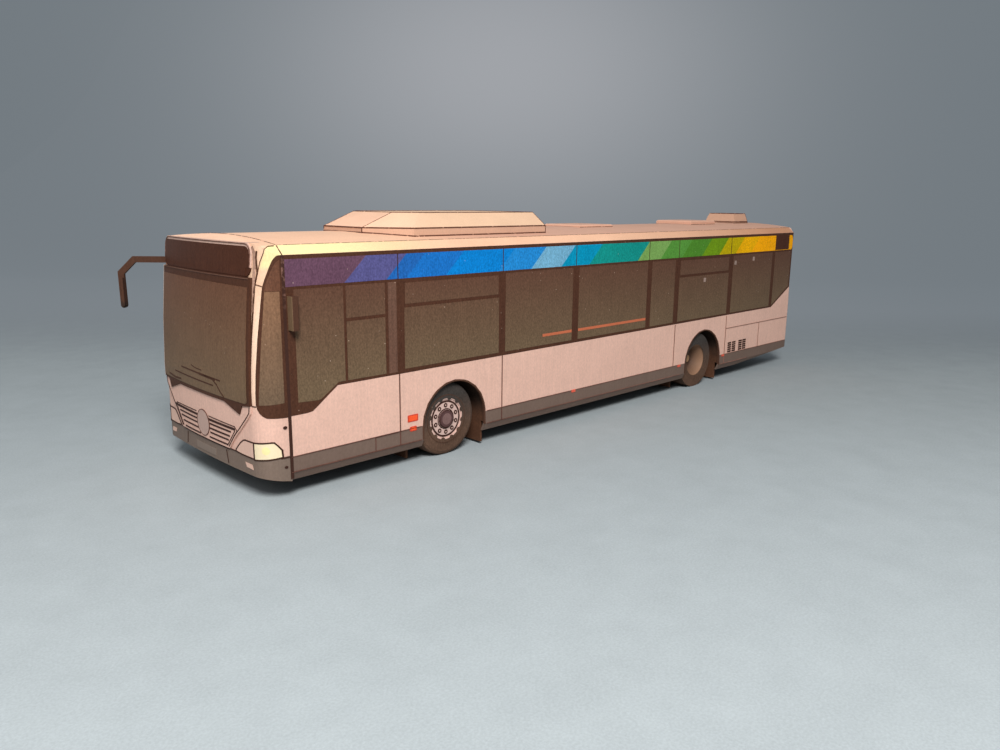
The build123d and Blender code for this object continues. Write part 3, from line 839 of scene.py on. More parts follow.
def light_raised_end(recipe):
    """Give the sheet's raised end an even tone of its own, with a soft glow, as seen by the camera."""
    aside = recipe.divided(recipe.along(ACROSS, CAMERA_FOOT), GLOW_SPREAD)
    rise = recipe.divided(recipe.minus(recipe.height(), GLOW_LEVEL), GLOW_RISE)
    spread = recipe.plus(recipe.times(aside, aside), recipe.times(rise, rise))
    wall = recipe.mix(recipe.math("EXPONENT", recipe.times(spread, -1.0)), "wall", "wall_glow")
    raised = recipe.between(recipe.along(FORWARD, CAMERA_FOOT), *RAISED, smooth=True)
    path = recipe.add("LightPath").outputs
    seen = recipe.larger(path["Is Camera Ray"],
                         recipe.larger(path["Is Glossy Ray"], path["Is Transmission Ray"]))
    own_light = recipe.times(seen, raised)
    colour = recipe.shader["Base Color"].links[0].from_socket
    recipe.feed(recipe.shader["Emission Color"], wall)
    recipe.feed(recipe.shader["Emission Strength"], own_light)
    recipe.feed(recipe.shader["Base Color"], recipe.mix(own_light, colour, (0.0, 0.0, 0.0)))


NODE_FINISHES = {
    "side_card": ["left_side", "right_side"],
    "mask_card": ["front_mask"],
    "rear_card": ["rear_cap"],
    "roof_card": ["roof", "front_roof_hatch", "rear_roof_hatch"],
    "white_print": ["grille_panel"],
    "sign_panel_card": ["destination_panel"],
    "windscreen_card": ["windscreen"],
    "underside_card": ["floor_front", "floor_mid", "floor_rear", "front_axle_box", "rear_axle_box"],
    "well_card": ["front_left_wheel_arch", "front_right_wheel_arch",
                  "rear_left_wheel_arch", "rear_right_wheel_arch"],
    "tyre_card": ["front_left_tyre", "front_right_tyre", "rear_left_twin_tyre", "rear_right_twin_tyre"],
    "rim_print": ["front_left_rim", "front_right_rim"],
    "hub_print": ["front_left_hub_cap", "front_right_hub_cap"],
    "dish_card": ["rear_left_rim", "rear_right_rim"],
    "wood_rod": ["front_axle", "rear_axle"],
    "pod_card": ["front_roof_pod"],
    "rear_pod_card": ["rear_roof_pod"],
    "left_mirror_card": ["left_mirror"],
    "right_mirror_card": ["right_mirror"],
}


class CARDBUS_OT_card_surfaces(bpy.types.Operator):
    """Give every folded sheet of the shell its printed or painted surface"""
    bl_idname = "cardbus.card_surfaces"
    bl_label = "Card Surfaces"

    def execute(self, context):
        for name, nodes in NODE_FINISHES.items():
            for node in nodes:
                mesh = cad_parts[node].data
                mesh.materials.clear()
                mesh.materials.append(finish(name))
        return {"FINISHED"}


# ---- Sides -----------------------------------------------------------------------------------
PILLAR_GAPS = [(22.7, 40.7), (42.1, 57.8), (59.4, 78.8), (80.2, 87.8), (89.4, 107.7), (109.3, 126.2)]
SPLIT_PANES = {22.7: 23.0, 89.4: 23.1}
REAR_QUARTER = [(127.5, 26.35), (135.0, 26.35), (135.0, 18.35), (127.5, 14.4)]
DRIVER_DIP = [(6.0, 14.05), (11.95, 14.05), (9.3, 12.25), (8.9, 12.16), (6.0, 12.32)]
STICKERS = [(98.5, 21.9), (110.2, 24.8), (117.8, 25.3)]
STRIPE_END = 133.9
STRIPE_STATIONS = [21.7, 41.5, 58.5, 79.1, 88.8, 108.1]
OVER_ARCH = 88.8  # the panel line that stops at the skirt, since the rear arch is below it
PANEL_STATIONS = [21.7, 41.5, OVER_ARCH, 108.1]
SKIRT_RUNS = [(FRONT_SEAM, 25.4), (38.4, 91.2), (106.8, 135.5)]
HEM_END = 118.0
REFLECTORS = [(58.7, 5.35), (90.9, 5.3), (107.6, 5.3)]
VENT_STATIONS = [109.4, 111.2, 113.9, 115.6]
RIGHT_DOOR_BAY = 42.1
RIGHT_DOORS = [(6.6, 19.4), (43.2, 57.6)]


def pane(start, end, foot=None, top=None):
    return block((start, foot or size("glass_foot")), (end, top or size("glass_top")))


def split_pane(start, end, height, bar=0.5):
    """A pane with a hopper window over it."""
    return [pane(start, end, top=height - bar / 2),
            pane(start + 0.15, end - 0.15, foot=height + bar / 2, top=size("glass_top") - 0.25)]


class CARDBUS_OT_window_bands(bpy.types.Operator):
    """Print the dark window band along both sides"""
    bl_idname = "cardbus.window_bands"
    bl_label = "Window Bands"

    def execute(self, context):
        foot, top = size("band_foot"), size("band_top")
        band = (patch, [(BAND_START, foot), (127.4, foot + 0.3), (BAND_END, 18.1), (BAND_END, top),
                        (BAND_START, top)])
        dip = (patch, [(FRONT_SEAM, top), (BAND_START, top), (BAND_START, foot), (8.0, 10.85),
                       (7.2, 10.75), (FRONT_SEAM, 10.75)])
        lay("left_window_band", left, 1, "frame_print", band, dip)
        lay("right_window_band", right, 1, "frame_print", band, block((FRONT_SEAM, foot), (BAND_START, top)))
        return {"FINISHED"}


class CARDBUS_OT_side_glass(bpy.types.Operator):
    """Print the panes of both sides"""
    bl_idname = "cardbus.side_glass"
    bl_label = "Side Glass"

    def execute(self, context):
        top = size("glass_top")
        panes = {start: split_pane(start, end, SPLIT_PANES[start]) if start in SPLIT_PANES
                 else [pane(start, end)] for start, end in PILLAR_GAPS}
        driver = [block((6.0, 14.05), (13.0, top)), (patch, DRIVER_DIP),
                  block((13.4, 14.05), (19.5, 21.75)), block((13.4, 22.2), (19.5, top))]
        lay("left_glass", left, 2, "glass_print", (patch, REAR_QUARTER), *sum(panes.values(), []), *driver)
        lay("left_door_pillar", left, 2, "pillar_print", block((20.0, 14.0), (21.4, top)))
        del panes[RIGHT_DOOR_BAY]
        lay("right_glass", right, 2, "glass_print", (patch, REAR_QUARTER), *sum(panes.values(), []))
        return {"FINISHED"}


class CARDBUS_OT_glass_details(bpy.types.Operator):
    """Print the handrails and the small pale stickers on the panes"""
    bl_idname = "cardbus.glass_details"
    bl_label = "Handrails and Stickers"

    def execute(self, context):
        foot, top = 15.63, 16.07
        rails = [block((59.45, foot), (78.75, top)), block((50.6, foot), (57.75, top))]
        for view, side in SIDES.items():
            lay_all({view: side}, ("handrail", 3, "rail_print", *(rails if view is left else rails[:1])),
                    ("stickers", 3, "sticker_print", *spots(STICKERS, 0.42, 0.42, 0.12)))
        return {"FINISHED"}


class CARDBUS_OT_stripe(bpy.types.Operator):
    """Print the slanted spectrum stripe over the windows, with the blank sign box near its end"""
    bl_idname = "cardbus.stripe"
    bl_label = "Spectrum Stripe"

    def execute(self, context):
        foot, top = size("stripe_foot"), size("stripe_top")
        tail = (patch, [(STRIPE_END, foot), (135.1, foot), (135.45, foot + 0.7), (135.45, top - 0.9),
                        (135.0, top - 0.1), (STRIPE_END, top)])
        for view, side in SIDES.items():
            lay(side + "stripe", view, 2, "stripe_print", block((FRONT_SEAM + 0.25, foot), (STRIPE_END, top)),
                tail)
            lay(side + "sign_box", view, 3, "sign_print", block((127.3, foot + 0.1), (133.7, top + 0.1)),
                slot="destination_print")
        return {"FINISHED"}


class CARDBUS_OT_panel_lines(bpy.types.Operator):
    """Print the panel, hatch and fold lines of both sides"""
    bl_idname = "cardbus.panel_lines"
    bl_label = "Panel Lines"

    def execute(self, context):
        width, hem, skirt = size("hairline"), size("hem"), size("skirt_top")
        foot, top = size("stripe_foot"), size("stripe_top")
        ruled = [line((station, skirt if station == OVER_ARCH else hem + 0.1),
                      (station, size("band_foot")), width) for station in PANEL_STATIONS]
        ruled += [line((108.1, 11.0), (135.5, 11.0), width * 0.8),
                  line((122.4, 5.5), (122.4, 10.9), width * 0.8)]
        for start, end in SKIRT_RUNS:
            ruled += [line((start, skirt), (end, skirt), width * 0.55),
                      line((start, hem + 0.05), (min(end, HEM_END), hem + 0.05), width * 0.8)]
        hatch = lines([(17.5, 3.6), (17.5, 5.45), (21.2, 5.45)], width * 0.7)
        marks = [line((station, foot), (station, top), width * 0.8) for station in STRIPE_STATIONS]
        for view, side in SIDES.items():
            lay_all({view: side}, ("panel_lines", 4, "fold_ink", *ruled, *(hatch if view is left else [])),
                    ("stripe_lines", 4, "line_ink", *marks))
        return {"FINISHED"}


class CARDBUS_OT_front_seams(bpy.types.Operator):
    """Ink the seams where the side sheets meet the front mask"""
    bl_idname = "cardbus.front_seams"
    bl_label = "Front Seams"

    def execute(self, context):
        seam = line((FRONT_SEAM, 2.9), (FRONT_SEAM, 30.3), size("seam"))
        lay_all(SIDES, ("front_seam", 4, "seam_ink", seam))
        return {"FINISHED"}


# Wheel, how far the arch's middle is behind the wheel's, the arch's radius and its middle's height
ARCHES = [(FRONT_WHEEL, 1.15, 5.95, 5.2), (REAR_WHEEL, 1.75, 6.45, 5.0)]
ARCH_STEPS = 22


class CARDBUS_OT_arch_edges(bpy.types.Operator):
    """Ink the cut edges of the wheel arches, a little over the edge as a pen does"""
    bl_idname = "cardbus.arch_edges"
    bl_label = "Wheel Arch Edges"

    def execute(self, context):
        turns = [0.0, *(math.pi * step / ARCH_STEPS for step in range(ARCH_STEPS + 1)), math.pi]
        strokes = []
        for wheel, offset, radius, level in ARCHES:
            middle = (NOSE - wheel.x) / MM + offset
            pairs = []
            for index, turn in enumerate(turns):
                foot = index in (0, len(turns) - 1)
                pairs.append([(middle - reach * math.cos(turn),
                               size("hem") if foot else level + reach * math.sin(turn))
                              for reach in (radius - 0.03, radius + 0.22 + 0.04 * math.sin(2.7 * index))])
            strokes += [(patch, [*here, *there[::-1]]) for here, there in zip(pairs, pairs[1:])]
        lay_all(SIDES, ("arch_edges", 3, "edge_ink", *strokes))
        return {"FINISHED"}


class CARDBUS_OT_side_lamps(bpy.types.Operator):
    """Print the orange side lamps and reflectors"""
    bl_idname = "cardbus.side_lamps"
    bl_label = "Side Lamps"

    def execute(self, context):
        lay_all(SIDES,
                ("side_lamp_edges", 3, "lamp_edge_print", block((23.0, 6.5), (24.85, 7.5), 0.12),
                 block((23.35, 5.1), (24.6, 5.78), 0.2)),
                ("side_lamps", 4, "orange_print", block((23.2, 6.64), (24.66, 7.36), 0.1),
                 block((23.55, 5.22), (24.4, 5.66), 0.15)),
                ("reflectors", 5, "reflector_print", *spots(REFLECTORS, 0.5, 0.22, 0.08)))
        return {"FINISHED"}


class CARDBUS_OT_vents(bpy.types.Operator):
    """Print the louvres of the engine bay behind the rear wheels"""
    bl_idname = "cardbus.vents"
    bl_label = "Engine Vents"

    def execute(self, context):
        heights = [5.85 + 0.46 * step for step in range(5)]
        slots = [block((start, height - 0.16), (start + 1.4, height + 0.16), 0.05)
                 for start in VENT_STATIONS for height in heights]
        lay_all(SIDES, ("vents", 3, "line_ink", *slots))
        return {"FINISHED"}


class CARDBUS_OT_right_doors(bpy.types.Operator):
    """Print the two double doors of the kerb side"""
    bl_idname = "cardbus.right_doors"
    bl_label = "Kerb Side Doors"

    def execute(self, context):
        foot, top = 4.2, 26.3
        leaves, panes, ruled = [], [], []
        for start, end in RIGHT_DOORS:
            middle = (start + end) / 2
            leaves.append(block((start, foot - 0.35), (end, top + 0.35), 0.3))
            for low, high in ((start, middle), (middle, end)):
                panes.append(block((low + 0.55, foot + 0.9), (high - 0.55, top - 0.35), 0.35))
                ruled.append(block((low + 0.9, foot + 5.9), (high - 0.9, foot + 6.15)))
            ruled.append(line((middle, foot), (middle, top), 0.2))
        lay_all({right: "right_door_"}, ("leaves", 2, "frame_print", *leaves),
                ("glass", 3, "glass_print", *panes), ("lines", 4, "line_ink", *ruled),
                ("pillar", 2, "pillar_print", pane(20.0, 22.0)))
        return {"FINISHED"}


# ---- Front -----------------------------------------------------------------------------------
SCREEN = [(-12.0, 12.75), (-11.6, 12.5), (11.6, 12.5), (12.0, 12.75), (12.0, 26.7), (-12.0, 26.9)]
# Wiper arms and blades: points and width
WIPERS = [([(-5.4, 14.65), (5.9, 14.5)], 0.2), ([(0.4, 14.55), (4.5, 14.45)], 0.32),
          ([(-7.8, 13.72), (4.0, 13.6)], 0.18),
          ([(3.9, 14.4), (5.06, 13.83), (5.75, 13.16), (6.69, 12.55)], 0.2),
          ([(-10.2, 12.95), (-8.0, 12.75), (-6.0, 12.85)], 0.26),
          ([(-2.2, 15.35), (-1.0, 15.15), (0.8, 15.1)], 0.13)]
SIGN = [(-12.1, 28.0), (12.1, 28.0), (12.02, 30.55), (11.85, 31.05), (11.5, 31.38), (11.0, 31.5),
        (-11.4, 31.5), (-11.85, 31.3), (-12.0, 30.95)]
SIGN_EDGE = [(12.16, 28.2), (12.16, 30.65), (12.05, 31.12), (11.8, 31.47), (11.44, 31.7), (10.9, 31.79)]
SIGN_SHADE = [(12.55, 24.0), (12.62, 27.0), (12.72, 29.0), (12.6, 30.8), (12.3, 31.3)]
# Grille bars: height, both ends and width
GRILLE_BARS = [(8.67, -9.27, -1.63, 0.3), (8.1, -7.63, -1.56, 0.2), (7.53, -7.18, -1.34, 0.2),
               (6.86, -6.57, -1.14, 0.2), (6.18, -5.97, -0.94, 0.2), (8.65, 1.7, 8.61, 0.3),
               (8.12, 2.06, 7.59, 0.22), (7.5, 1.96, 7.26, 0.22), (6.93, 2.04, 6.94, 0.2),
               (6.26, 1.78, 6.6, 0.2)]
# Outlines on one half of the grille panel: points and width
GRILLE_OUTLINES = [([(1.9, 9.1), (8.6, 9.0), (9.1, 8.55), (6.95, 6.1)], 0.1),
                   ([(8.55, 8.4), (6.6, 6.15)], 0.12),
                   ([(12.22, 12.05), (12.08, 11.38), (11.52, 10.74), (9.66, 8.92), (8.36, 7.77),
                     (6.96, 6.15)], 0.12)]
DISC_AT = (0.15, 7.9)
HEADLAMP_INNER = [(8.27, 5.93), (8.81, 6.48), (9.46, 7.08), (10.09, 7.5), (10.5, 7.62), (12.35, 7.62),
                  (12.42, 5.55), (9.78, 5.6), (8.35, 5.72)]
HEADLAMP = [(-0.95, 7.62), (1.4, 7.78), (1.68, 7.74), (2.06, 7.3), (2.44, 6.7), (2.5, 5.75),
            (0.85, 5.58), (-0.93, 5.46)]
FOG_LAMP = [(10.3, 4.74), (11.85, 4.68), (12.05, 4.05), (10.6, 4.16)]
WINDOW_BORDER = [(-0.31, 12.55), (-0.28, 13.8), (-0.15, 16.3), (0.27, 20.5), (0.88, 25.5), (1.06, 26.8),
                 (1.24, 27.35), (1.44, 27.9), (1.6, 28.3), (1.76, 28.72), (1.94, 29.16), (2.12, 29.57),
                 (2.3, 29.92), (2.5, 30.2), (2.66, 30.38), (2.86, 30.5), (3.3, 30.53),
                 (3.3, 10.68), (0.98, 10.88), (0.52, 11.12), (0.16, 11.44), (-0.14, 11.94)]
WINDOW_HEAD = [(1.24, 26.3), (1.4, 26.95), (1.55, 27.4), (1.74, 27.85), (1.9, 28.25), (2.07, 28.6),
               (2.23, 28.97), (2.4, 29.3), (2.58, 29.58), (2.78, 29.8), (3.0, 29.95), (3.0, 26.3)]
WINDOW_PANE = [(0.02, 12.7), (0.1, 12.5), (2.88, 12.6), (2.9, 26.25), (1.2, 26.25), (0.84, 21.75),
               (0.42, 16.9)]
PILLAR_EDGE = [(-0.98, 12.4), (-0.97, 15.6), (-0.6, 20.0), (-0.1, 25.0), (0.1, 26.9), (0.33, 27.7),
               (0.5, 28.4), (0.48, 29.2), (0.4, 30.2), (0.5, 30.9)]
GORE = [(0.35, 27.6), (0.55, 28.4), (0.71, 29.04), (0.9, 29.75), (1.12, 30.25), (1.33, 30.75), (1.46, 31.2),
        (1.72, 31.52), (2.5, 31.56)]


class CARDBUS_OT_windscreen(bpy.types.Operator):
    """Print the windscreen's pane, its wipers and the seam under the sign"""
    bl_idname = "cardbus.windscreen"
    bl_label = "Windscreen"

    def execute(self, context):
        arms = [stroke for points, width in WIPERS for stroke in lines(points, width)]
        lay_all({ahead: ""}, ("windscreen_glass", 1, "screen_print", (patch, SCREEN)),
                ("wipers", 2, "frame_print", *arms),
                ("screen_seam", 2, "screen_seam_print", line((-12.0, 27.76), (12.1, 27.72), 0.12)),
                onto="windscreen")
        return {"FINISHED"}


class CARDBUS_OT_front_sign(bpy.types.Operator):
    """Print the blank dark sign over the windscreen, the pen lines round its panel, and a strip of painted
    shade on the mask beside it
    """
    bl_idname = "cardbus.front_sign"
    bl_label = "Front Sign"

    def execute(self, context):
        pen = lines(SIGN_EDGE + mirrored(SIGN_EDGE)[::-1], 0.1)
        lay_all({ahead: "front_sign"}, ("", 1, "sign_print", (patch, SIGN)),
                ("_pen_lines", 2, "sketch_ink", *pen), onto="destination_panel")
        # Painted shade on the mask along each side of the raised sign panel.
        shade = [stroke for hand in (1, -1) for stroke in lines(mirrored(SIGN_SHADE, hand), 0.42)]
        lay("front_sign_shading", ahead, 1, "rim_shade_print", *shade)
        return {"FINISHED"}


class CARDBUS_OT_grille(bpy.types.Operator):
    """Print the grille bars, the plain disc and the outlines of the front panel"""
    bl_idname = "cardbus.grille"
    bl_label = "Grille"

    def execute(self, context):
        bars = [line((start + 0.1, height), (end - 0.1, height), thick)
                for height, start, end, thick in GRILLE_BARS]
        for hand in (1, -1):
            for points, width in GRILLE_OUTLINES:
                bars += lines(mirrored(points, hand), width)
        lay_all({ahead: "grille_"}, ("bars", 1, "line_ink", *bars),
                ("disc", 2, "disc_print", (disc, DISC_AT, 1.75)),
                ("disc_ring", 3, "sketch_ink", (ring, DISC_AT, 1.8, 0.09)), onto="grille_panel")
        return {"FINISHED"}


class CARDBUS_OT_front_lamps(bpy.types.Operator):
    """Print the headlamps round both front corners, and the small lamps in the bumper"""
    bl_idname = "cardbus.front_lamps"
    bl_label = "Front Lamps"

    def execute(self, context):
        rim = lines(HEADLAMP, 0.17, closed=True) + [line((2.4, 5.62), (3.15, 5.6), 0.13)]
        for view, side in CORNERS.items():
            inner = mirrored(HEADLAMP_INNER, HANDED[side])
            lay(side + "inner_headlamp", ahead, 1, "inner_lamp_print", (patch, inner))
            lay(side + "headlamp", view, 1, "lamp_print", (patch, HEADLAMP))
            lay(side + "headlamp_core", view, 2, "core_print", (disc, (0.66, 6.75), 0.5, 20))
            lay(side + "headlamp_outline", ahead, 2, "line_ink", *lines(inner, 0.17, closed=True))
            lay(side + "headlamp_rim", view, 3, "line_ink", *rim)
        fogs = [(patch, mirrored(FOG_LAMP, hand)) for hand in (1, -1)]
        lay_all({ahead: "front_"}, ("fog_lamps", 1, "inner_lamp_print", *fogs),
                ("plate", 1, "plate_print", block((-2.9, 3.85), (2.9, 4.8), 0.06)))
        return {"FINISHED"}


class CARDBUS_OT_corner_windows(bpy.types.Operator):
    """Print the tall windows that wrap round both front corners, and the pen lines beside them"""
    bl_idname = "cardbus.corner_windows"
    bl_label = "Corner Windows"

    def execute(self, context):
        lay_all(CORNERS, ("corner_band", 1, "frame_print", (patch, WINDOW_BORDER)),
                ("corner_head", 2, "corner_head", (patch, WINDOW_HEAD)),
                ("corner_glass", 2, "corner_glass", (patch, WINDOW_PANE)),
                ("pillar_edge", 1, "frame_print", *lines(PILLAR_EDGE, 0.2)),
                ("gore_lines", 2, "pen_ink", *lines(GORE, 0.08), line((0.3, 27.06), (1.0, 26.9), 0.1)),
                ("corner_marks", 3, "line_ink", line((-0.9, 12.3), (-0.36, 12.3), 0.1),
                 (disc, (2.83, 9.46), 0.2, 16), (disc, (2.78, 4.36), 0.17, 16)))
        return {"FINISHED"}


class CARDBUS_OT_bumper_lines(bpy.types.Operator):
    """Print the joint lines of the front bumper"""
    bl_idname = "cardbus.bumper_lines"
    bl_label = "Bumper Lines"

    def execute(self, context):
        ruled = [line(*mirrored(ends, hand), width)
                 for ends, width in (([(5.8, 5.3), (6.15, 3.7)], 0.1), ([(7.0, 5.72), (8.4, 5.72)], 0.12))
                 for hand in (1, -1)]
        lay("bumper_lines", ahead, 2, "line_ink", *ruled, line((-6.6, 5.62), (6.6, 5.62), 0.13))
        return {"FINISHED"}


# ---- Rear ------------------------------------------------------------------------------------
REAR_BAND = [(-11.6, 17.6), (11.6, 17.6), (12.4, 18.6), (12.4, 28.9), (11.6, 29.7), (-11.6, 29.7),
             (-12.4, 28.9), (-12.4, 18.6)]
REAR_FLAP = [(-9.6, 6.3), (-9.6, 16.6), (9.6, 16.6), (9.6, 6.3)]


def rear_lamps(foot, top):
    """One lamp of a cluster at each rear corner."""
    return [block((hand * 10.7, foot), (hand * 12.6, top), 0.3) for hand in (1, -1)]


class CARDBUS_OT_rear_prints(bpy.types.Operator):
    """Print the rear window, lamps, engine flap and blank plate"""
    bl_idname = "cardbus.rear_prints"
    bl_label = "Rear Prints"

    def execute(self, context):
        slots = [block((-6.8, 13.4 + 0.55 * i), (6.8, 13.62 + 0.55 * i)) for i in range(5)]
        lay_all({behind: ""}, ("rear_window_band", 1, "frame_print", (patch, REAR_BAND)),
                ("rear_glass", 2, "glass_print", block((-11.6, 18.3), (11.6, 26.4), 0.5)),
                ("rear_sign", 2, "sign_print", block((-4.2, 27.0), (4.2, 29.2), 0.25)),
                ("rear_flap_lines", 1, "line_ink", *lines(REAR_FLAP, 0.13),
                 line((-13.0, 6.0), (13.0, 6.0), 0.1), *slots),
                ("tail_lamps", 1, "red_print", *rear_lamps(9.4, 12.4)),
                ("turn_lamps", 1, "orange_print", *rear_lamps(12.6, 14.3)),
                ("reversing_lamps", 1, "lamp_print", *rear_lamps(7.8, 9.2)),
                ("rear_plate", 1, "inner_lamp_print", block((-2.9, 7.2), (2.9, 8.5), 0.08)))
        return {"FINISHED"}


# ---- Wheels ----------------------------------------------------------------------------------
HANDED = {"left_": 1, "right_": -1}
CENTRE = (0, 0)


def wheel_view(side, axle):
    """Drawing on the wheel's face: offsets in millimetres from its middle."""
    def view(a, b):
        return Vector((axle.x + a * MM, 0, axle.z + b * MM))
    VIEWS[view] = ((-HANDED[side] * QUARTER, 0, 0), Vector((0, HANDED[side], 0)))
    return view


def discs(count, reach, start, radius, sides):
    """Equal discs round the wheel's middle."""
    turns = [start + math.tau * index / count for index in range(count)]
    return [(disc, (reach * math.cos(turn), reach * math.sin(turn)), radius, sides) for turn in turns]


class CARDBUS_OT_wheel_prints(bpy.types.Operator):
    """Print the scalloped ring, bolt ring and hub lines on the front wheels, and the rear tyres' lips"""
    bl_idname = "cardbus.wheel_prints"
    bl_label = "Wheel Prints"

    def execute(self, context):
        face, cap = (corner.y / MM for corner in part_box("front_left_hub_cap"))
        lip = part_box("front_left_tyre")[1].y / MM
        for side in HANDED:
            view = wheel_view(side, FRONT_WHEEL)
            for lift, name, *row in (
                    (face, "rim_dish", 1, "rim_dish_print", (disc, CENTRE, 2.5, 40)),
                    (face, "rim_rings", 2, "line_ink", (ring, CENTRE, 2.76, 0.28),
                     (ring, CENTRE, 1.56, 0.16)),
                    (lip, "rim_notches", 1, "tyre_card", *discs(12, 3.22, 0.2, 0.4, 18)),
                    (lip, "tyre_rim", 2, "tyre_card", (ring, CENTRE, 3.64, 0.52)),
                    (lip, "tyre_ring", 3, "edge_ink", (ring, CENTRE, 3.66, 0.09)),
                    (face, "bolt_rings", 3, "line_ink", *discs(10, 2.03, 0.31, 0.34, 16)),
                    (face, "bolt_tips", 4, "rim_print", *discs(10, 2.03, 0.31, 0.11, 12)),
                    (cap, "hub_middle", 1, "hub_middle_print", (disc, CENTRE, 0.86, 24)),
                    (cap, "hub_rings", 1, "line_ink", (ring, CENTRE, 1.33, 0.09))):
                lay(side + name, view, *row, slot="rim_print", body="front_wheelset", lift=lift)
            lay(side + "rear_tyre_lip", wheel_view(side, REAR_WHEEL), 1, "tyre_card",
                (ring, CENTRE, 3.8, 0.62), slot="tyre_card", body="rear_wheelset", lift=lip)
        return {"FINISHED"}


# ---- Roof ------------------------------------------------------------------------------------
def pen_edge(start, end, radius):
    """A cut edge inked with a pen: a thin round bead along it."""
    run = end - start
    deselect()
    bpy.ops.mesh.primitive_cylinder_add(vertices=6, radius=radius * MM, depth=run.length,
                                        location=(start + end) / 2,
                                        rotation=run.to_track_quat("Z", "Y").to_euler())
    return settle(bpy.context.object)


def crown(offset):
    """Height of the roof at an offset from its middle line, over the road."""
    peak = (ROOF - ROAD) / MM
    return peak - (peak - EDGE_HEIGHT) * (offset / ROOF_EDGE) ** 2


def on_roof(x, y, proud=0.0):
    """The place on the roof sheet over x and y in metres, or a little proud of it."""
    return Vector((x, y, up(crown(y / MM) + proud)))


def outer_corners(node, height):
    """Outside corner points of a housing at one height, in order round it."""
    points = {tuple(round(value, 6) for value in vertex.co): vertex.co.copy()
              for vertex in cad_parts[node].data.vertices if abs(vertex.co.z - height) < 0.02 * MM}
    middle = sum(points.values(), Vector()) / len(points)

    def bearing(p):
        return math.atan2(p.y - middle.y, p.x - middle.x)

    kept = []
    for point in sorted(points.values(), key=bearing):
        if kept and abs(bearing(point) - bearing(kept[-1])) < 0.03:
            if (point - middle).length > (kept[-1] - middle).length:
                kept[-1] = point
        else:
            kept.append(point)
    return kept


def housing_edges(node, rim_height, folds):
    """Pen strokes along a housing's foot, rim and lid, and up the folds that show."""
    lid = outer_corners(node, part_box(node)[1].z)
    rim = outer_corners(node, up(rim_height))
    feet = [on_roof(p.x, p.y) for p in rim]
    strokes = []
    for loop, radius in ((lid, 0.07), (rim, 0.09), (feet, 0.17)):
        strokes += [pen_edge(a, b, radius) for a, b in zip(loop, loop[1:] + loop[:1])]
    strokes += [pen_edge(foot, corner, 0.08) for foot, corner in zip(feet, rim) if folds(corner)]
    strokes += [pen_edge(corner, min(lid, key=lambda p: (p - corner).length), 0.05)
                for corner in rim if folds(corner)]
    return strokes


class CARDBUS_OT_roof_edges(bpy.types.Operator):
    """Ink the folded edges of the roof housings, the hatches and the roof sheet"""
    bl_idname = "cardbus.roof_edges"
    bl_label = "Roof Edges"

    def execute(self, context):
        shoulder, rear_end, seam_x = along(27.8), along(130), along(FRONT_SEAM)
        front_pod = housing_edges("front_roof_pod", POD_RIM, lambda p: abs(p.x - shoulder) > MM)
        rear_pod = housing_edges("rear_roof_pod", crown(0) + 0.3, lambda p: p.x < rear_end)
        hatches = []
        for node in ("front_roof_hatch", "rear_roof_hatch"):
            low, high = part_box(node)
            hatches += [pen_edge(on_roof(x, y, 0.02), on_roof(end, y, 0.02), 0.06)
                        for x, end, y in ((high.x, low.x, high.y), (low.x, high.x, low.y))]
        seam = [on_roof(seam_x, ROOF_EDGE * step / 8 * MM, 0.01) for step in range(-8, 9)]
        roof = [pen_edge(a, b, 0.05) for a, b in zip(seam, seam[1:])]
        for sign in (1, -1):
            front, rear = (on_roof(x, sign * ROOF_EDGE * MM) for x in (seam_x, along(BAND_END)))
            roof.append(pen_edge(front, rear, 0.035))
            roof.append(pen_edge(front, Vector((seam_x, sign * SIDE, up(SHOULDER_HEIGHT))), 0.08))
        for name, strokes, material, slot in (
                ("front_pod_pen_edges", front_pod, "pod_pen", "roof_pod_card"),
                ("rear_pod_pen_edges", rear_pod, "pod_pen", "roof_pod_card"),
                ("hatch_pen_edges", hatches, "roof_pen", "roof_hatch_card"),
                ("roof_pen_edges", roof, "roof_pen", "roof_print")):
            place(joined(strokes), name, material, slot, "bus_body")
        return {"FINISHED"}


# ---- Stage -----------------------------------------------------------------------------------
UP = Vector((0, 0, 1))
CAMERA_FOOT = Vector((108.37, 100.63, 0)) * MM
CAMERA_HEIGHT = 34.75 * MM
FORWARD = Matrix.Rotation(math.radians(-134.52), 3, "Z") @ Vector((1, 0, 0))
ACROSS = FORWARD.cross(UP)
CAMERA_TILT = math.radians(12.347)
CAMERA_ROLL = math.radians(0.578)
LENS = 28.71
SWEEP_DEPTH, SWEEP_WIDTH, SWEEP_RISE = 0.9, 2.4, 1.2
BEND_START = 0.36
BEND_RADIUS = 0.12
BEND_LEAN = math.radians(82)
# Lamps: place, what each is aimed at, size and power
LAMPS = {
    "key_lamp": ((0.16, 0.19, 0.225), (0.03, 0, 0.01), 0.12, 1.14),
    "fill_lamp": ((0.3, -0.16, 0.24), (0.05, 0, 0.01), 0.25, 0.1),
    "kerb_lamp": ((-0.02, -0.4, 0.12), (0, 0, 0.01), 0.3, 0.35),
}
WARM = (1.0, 0.97, 0.94)


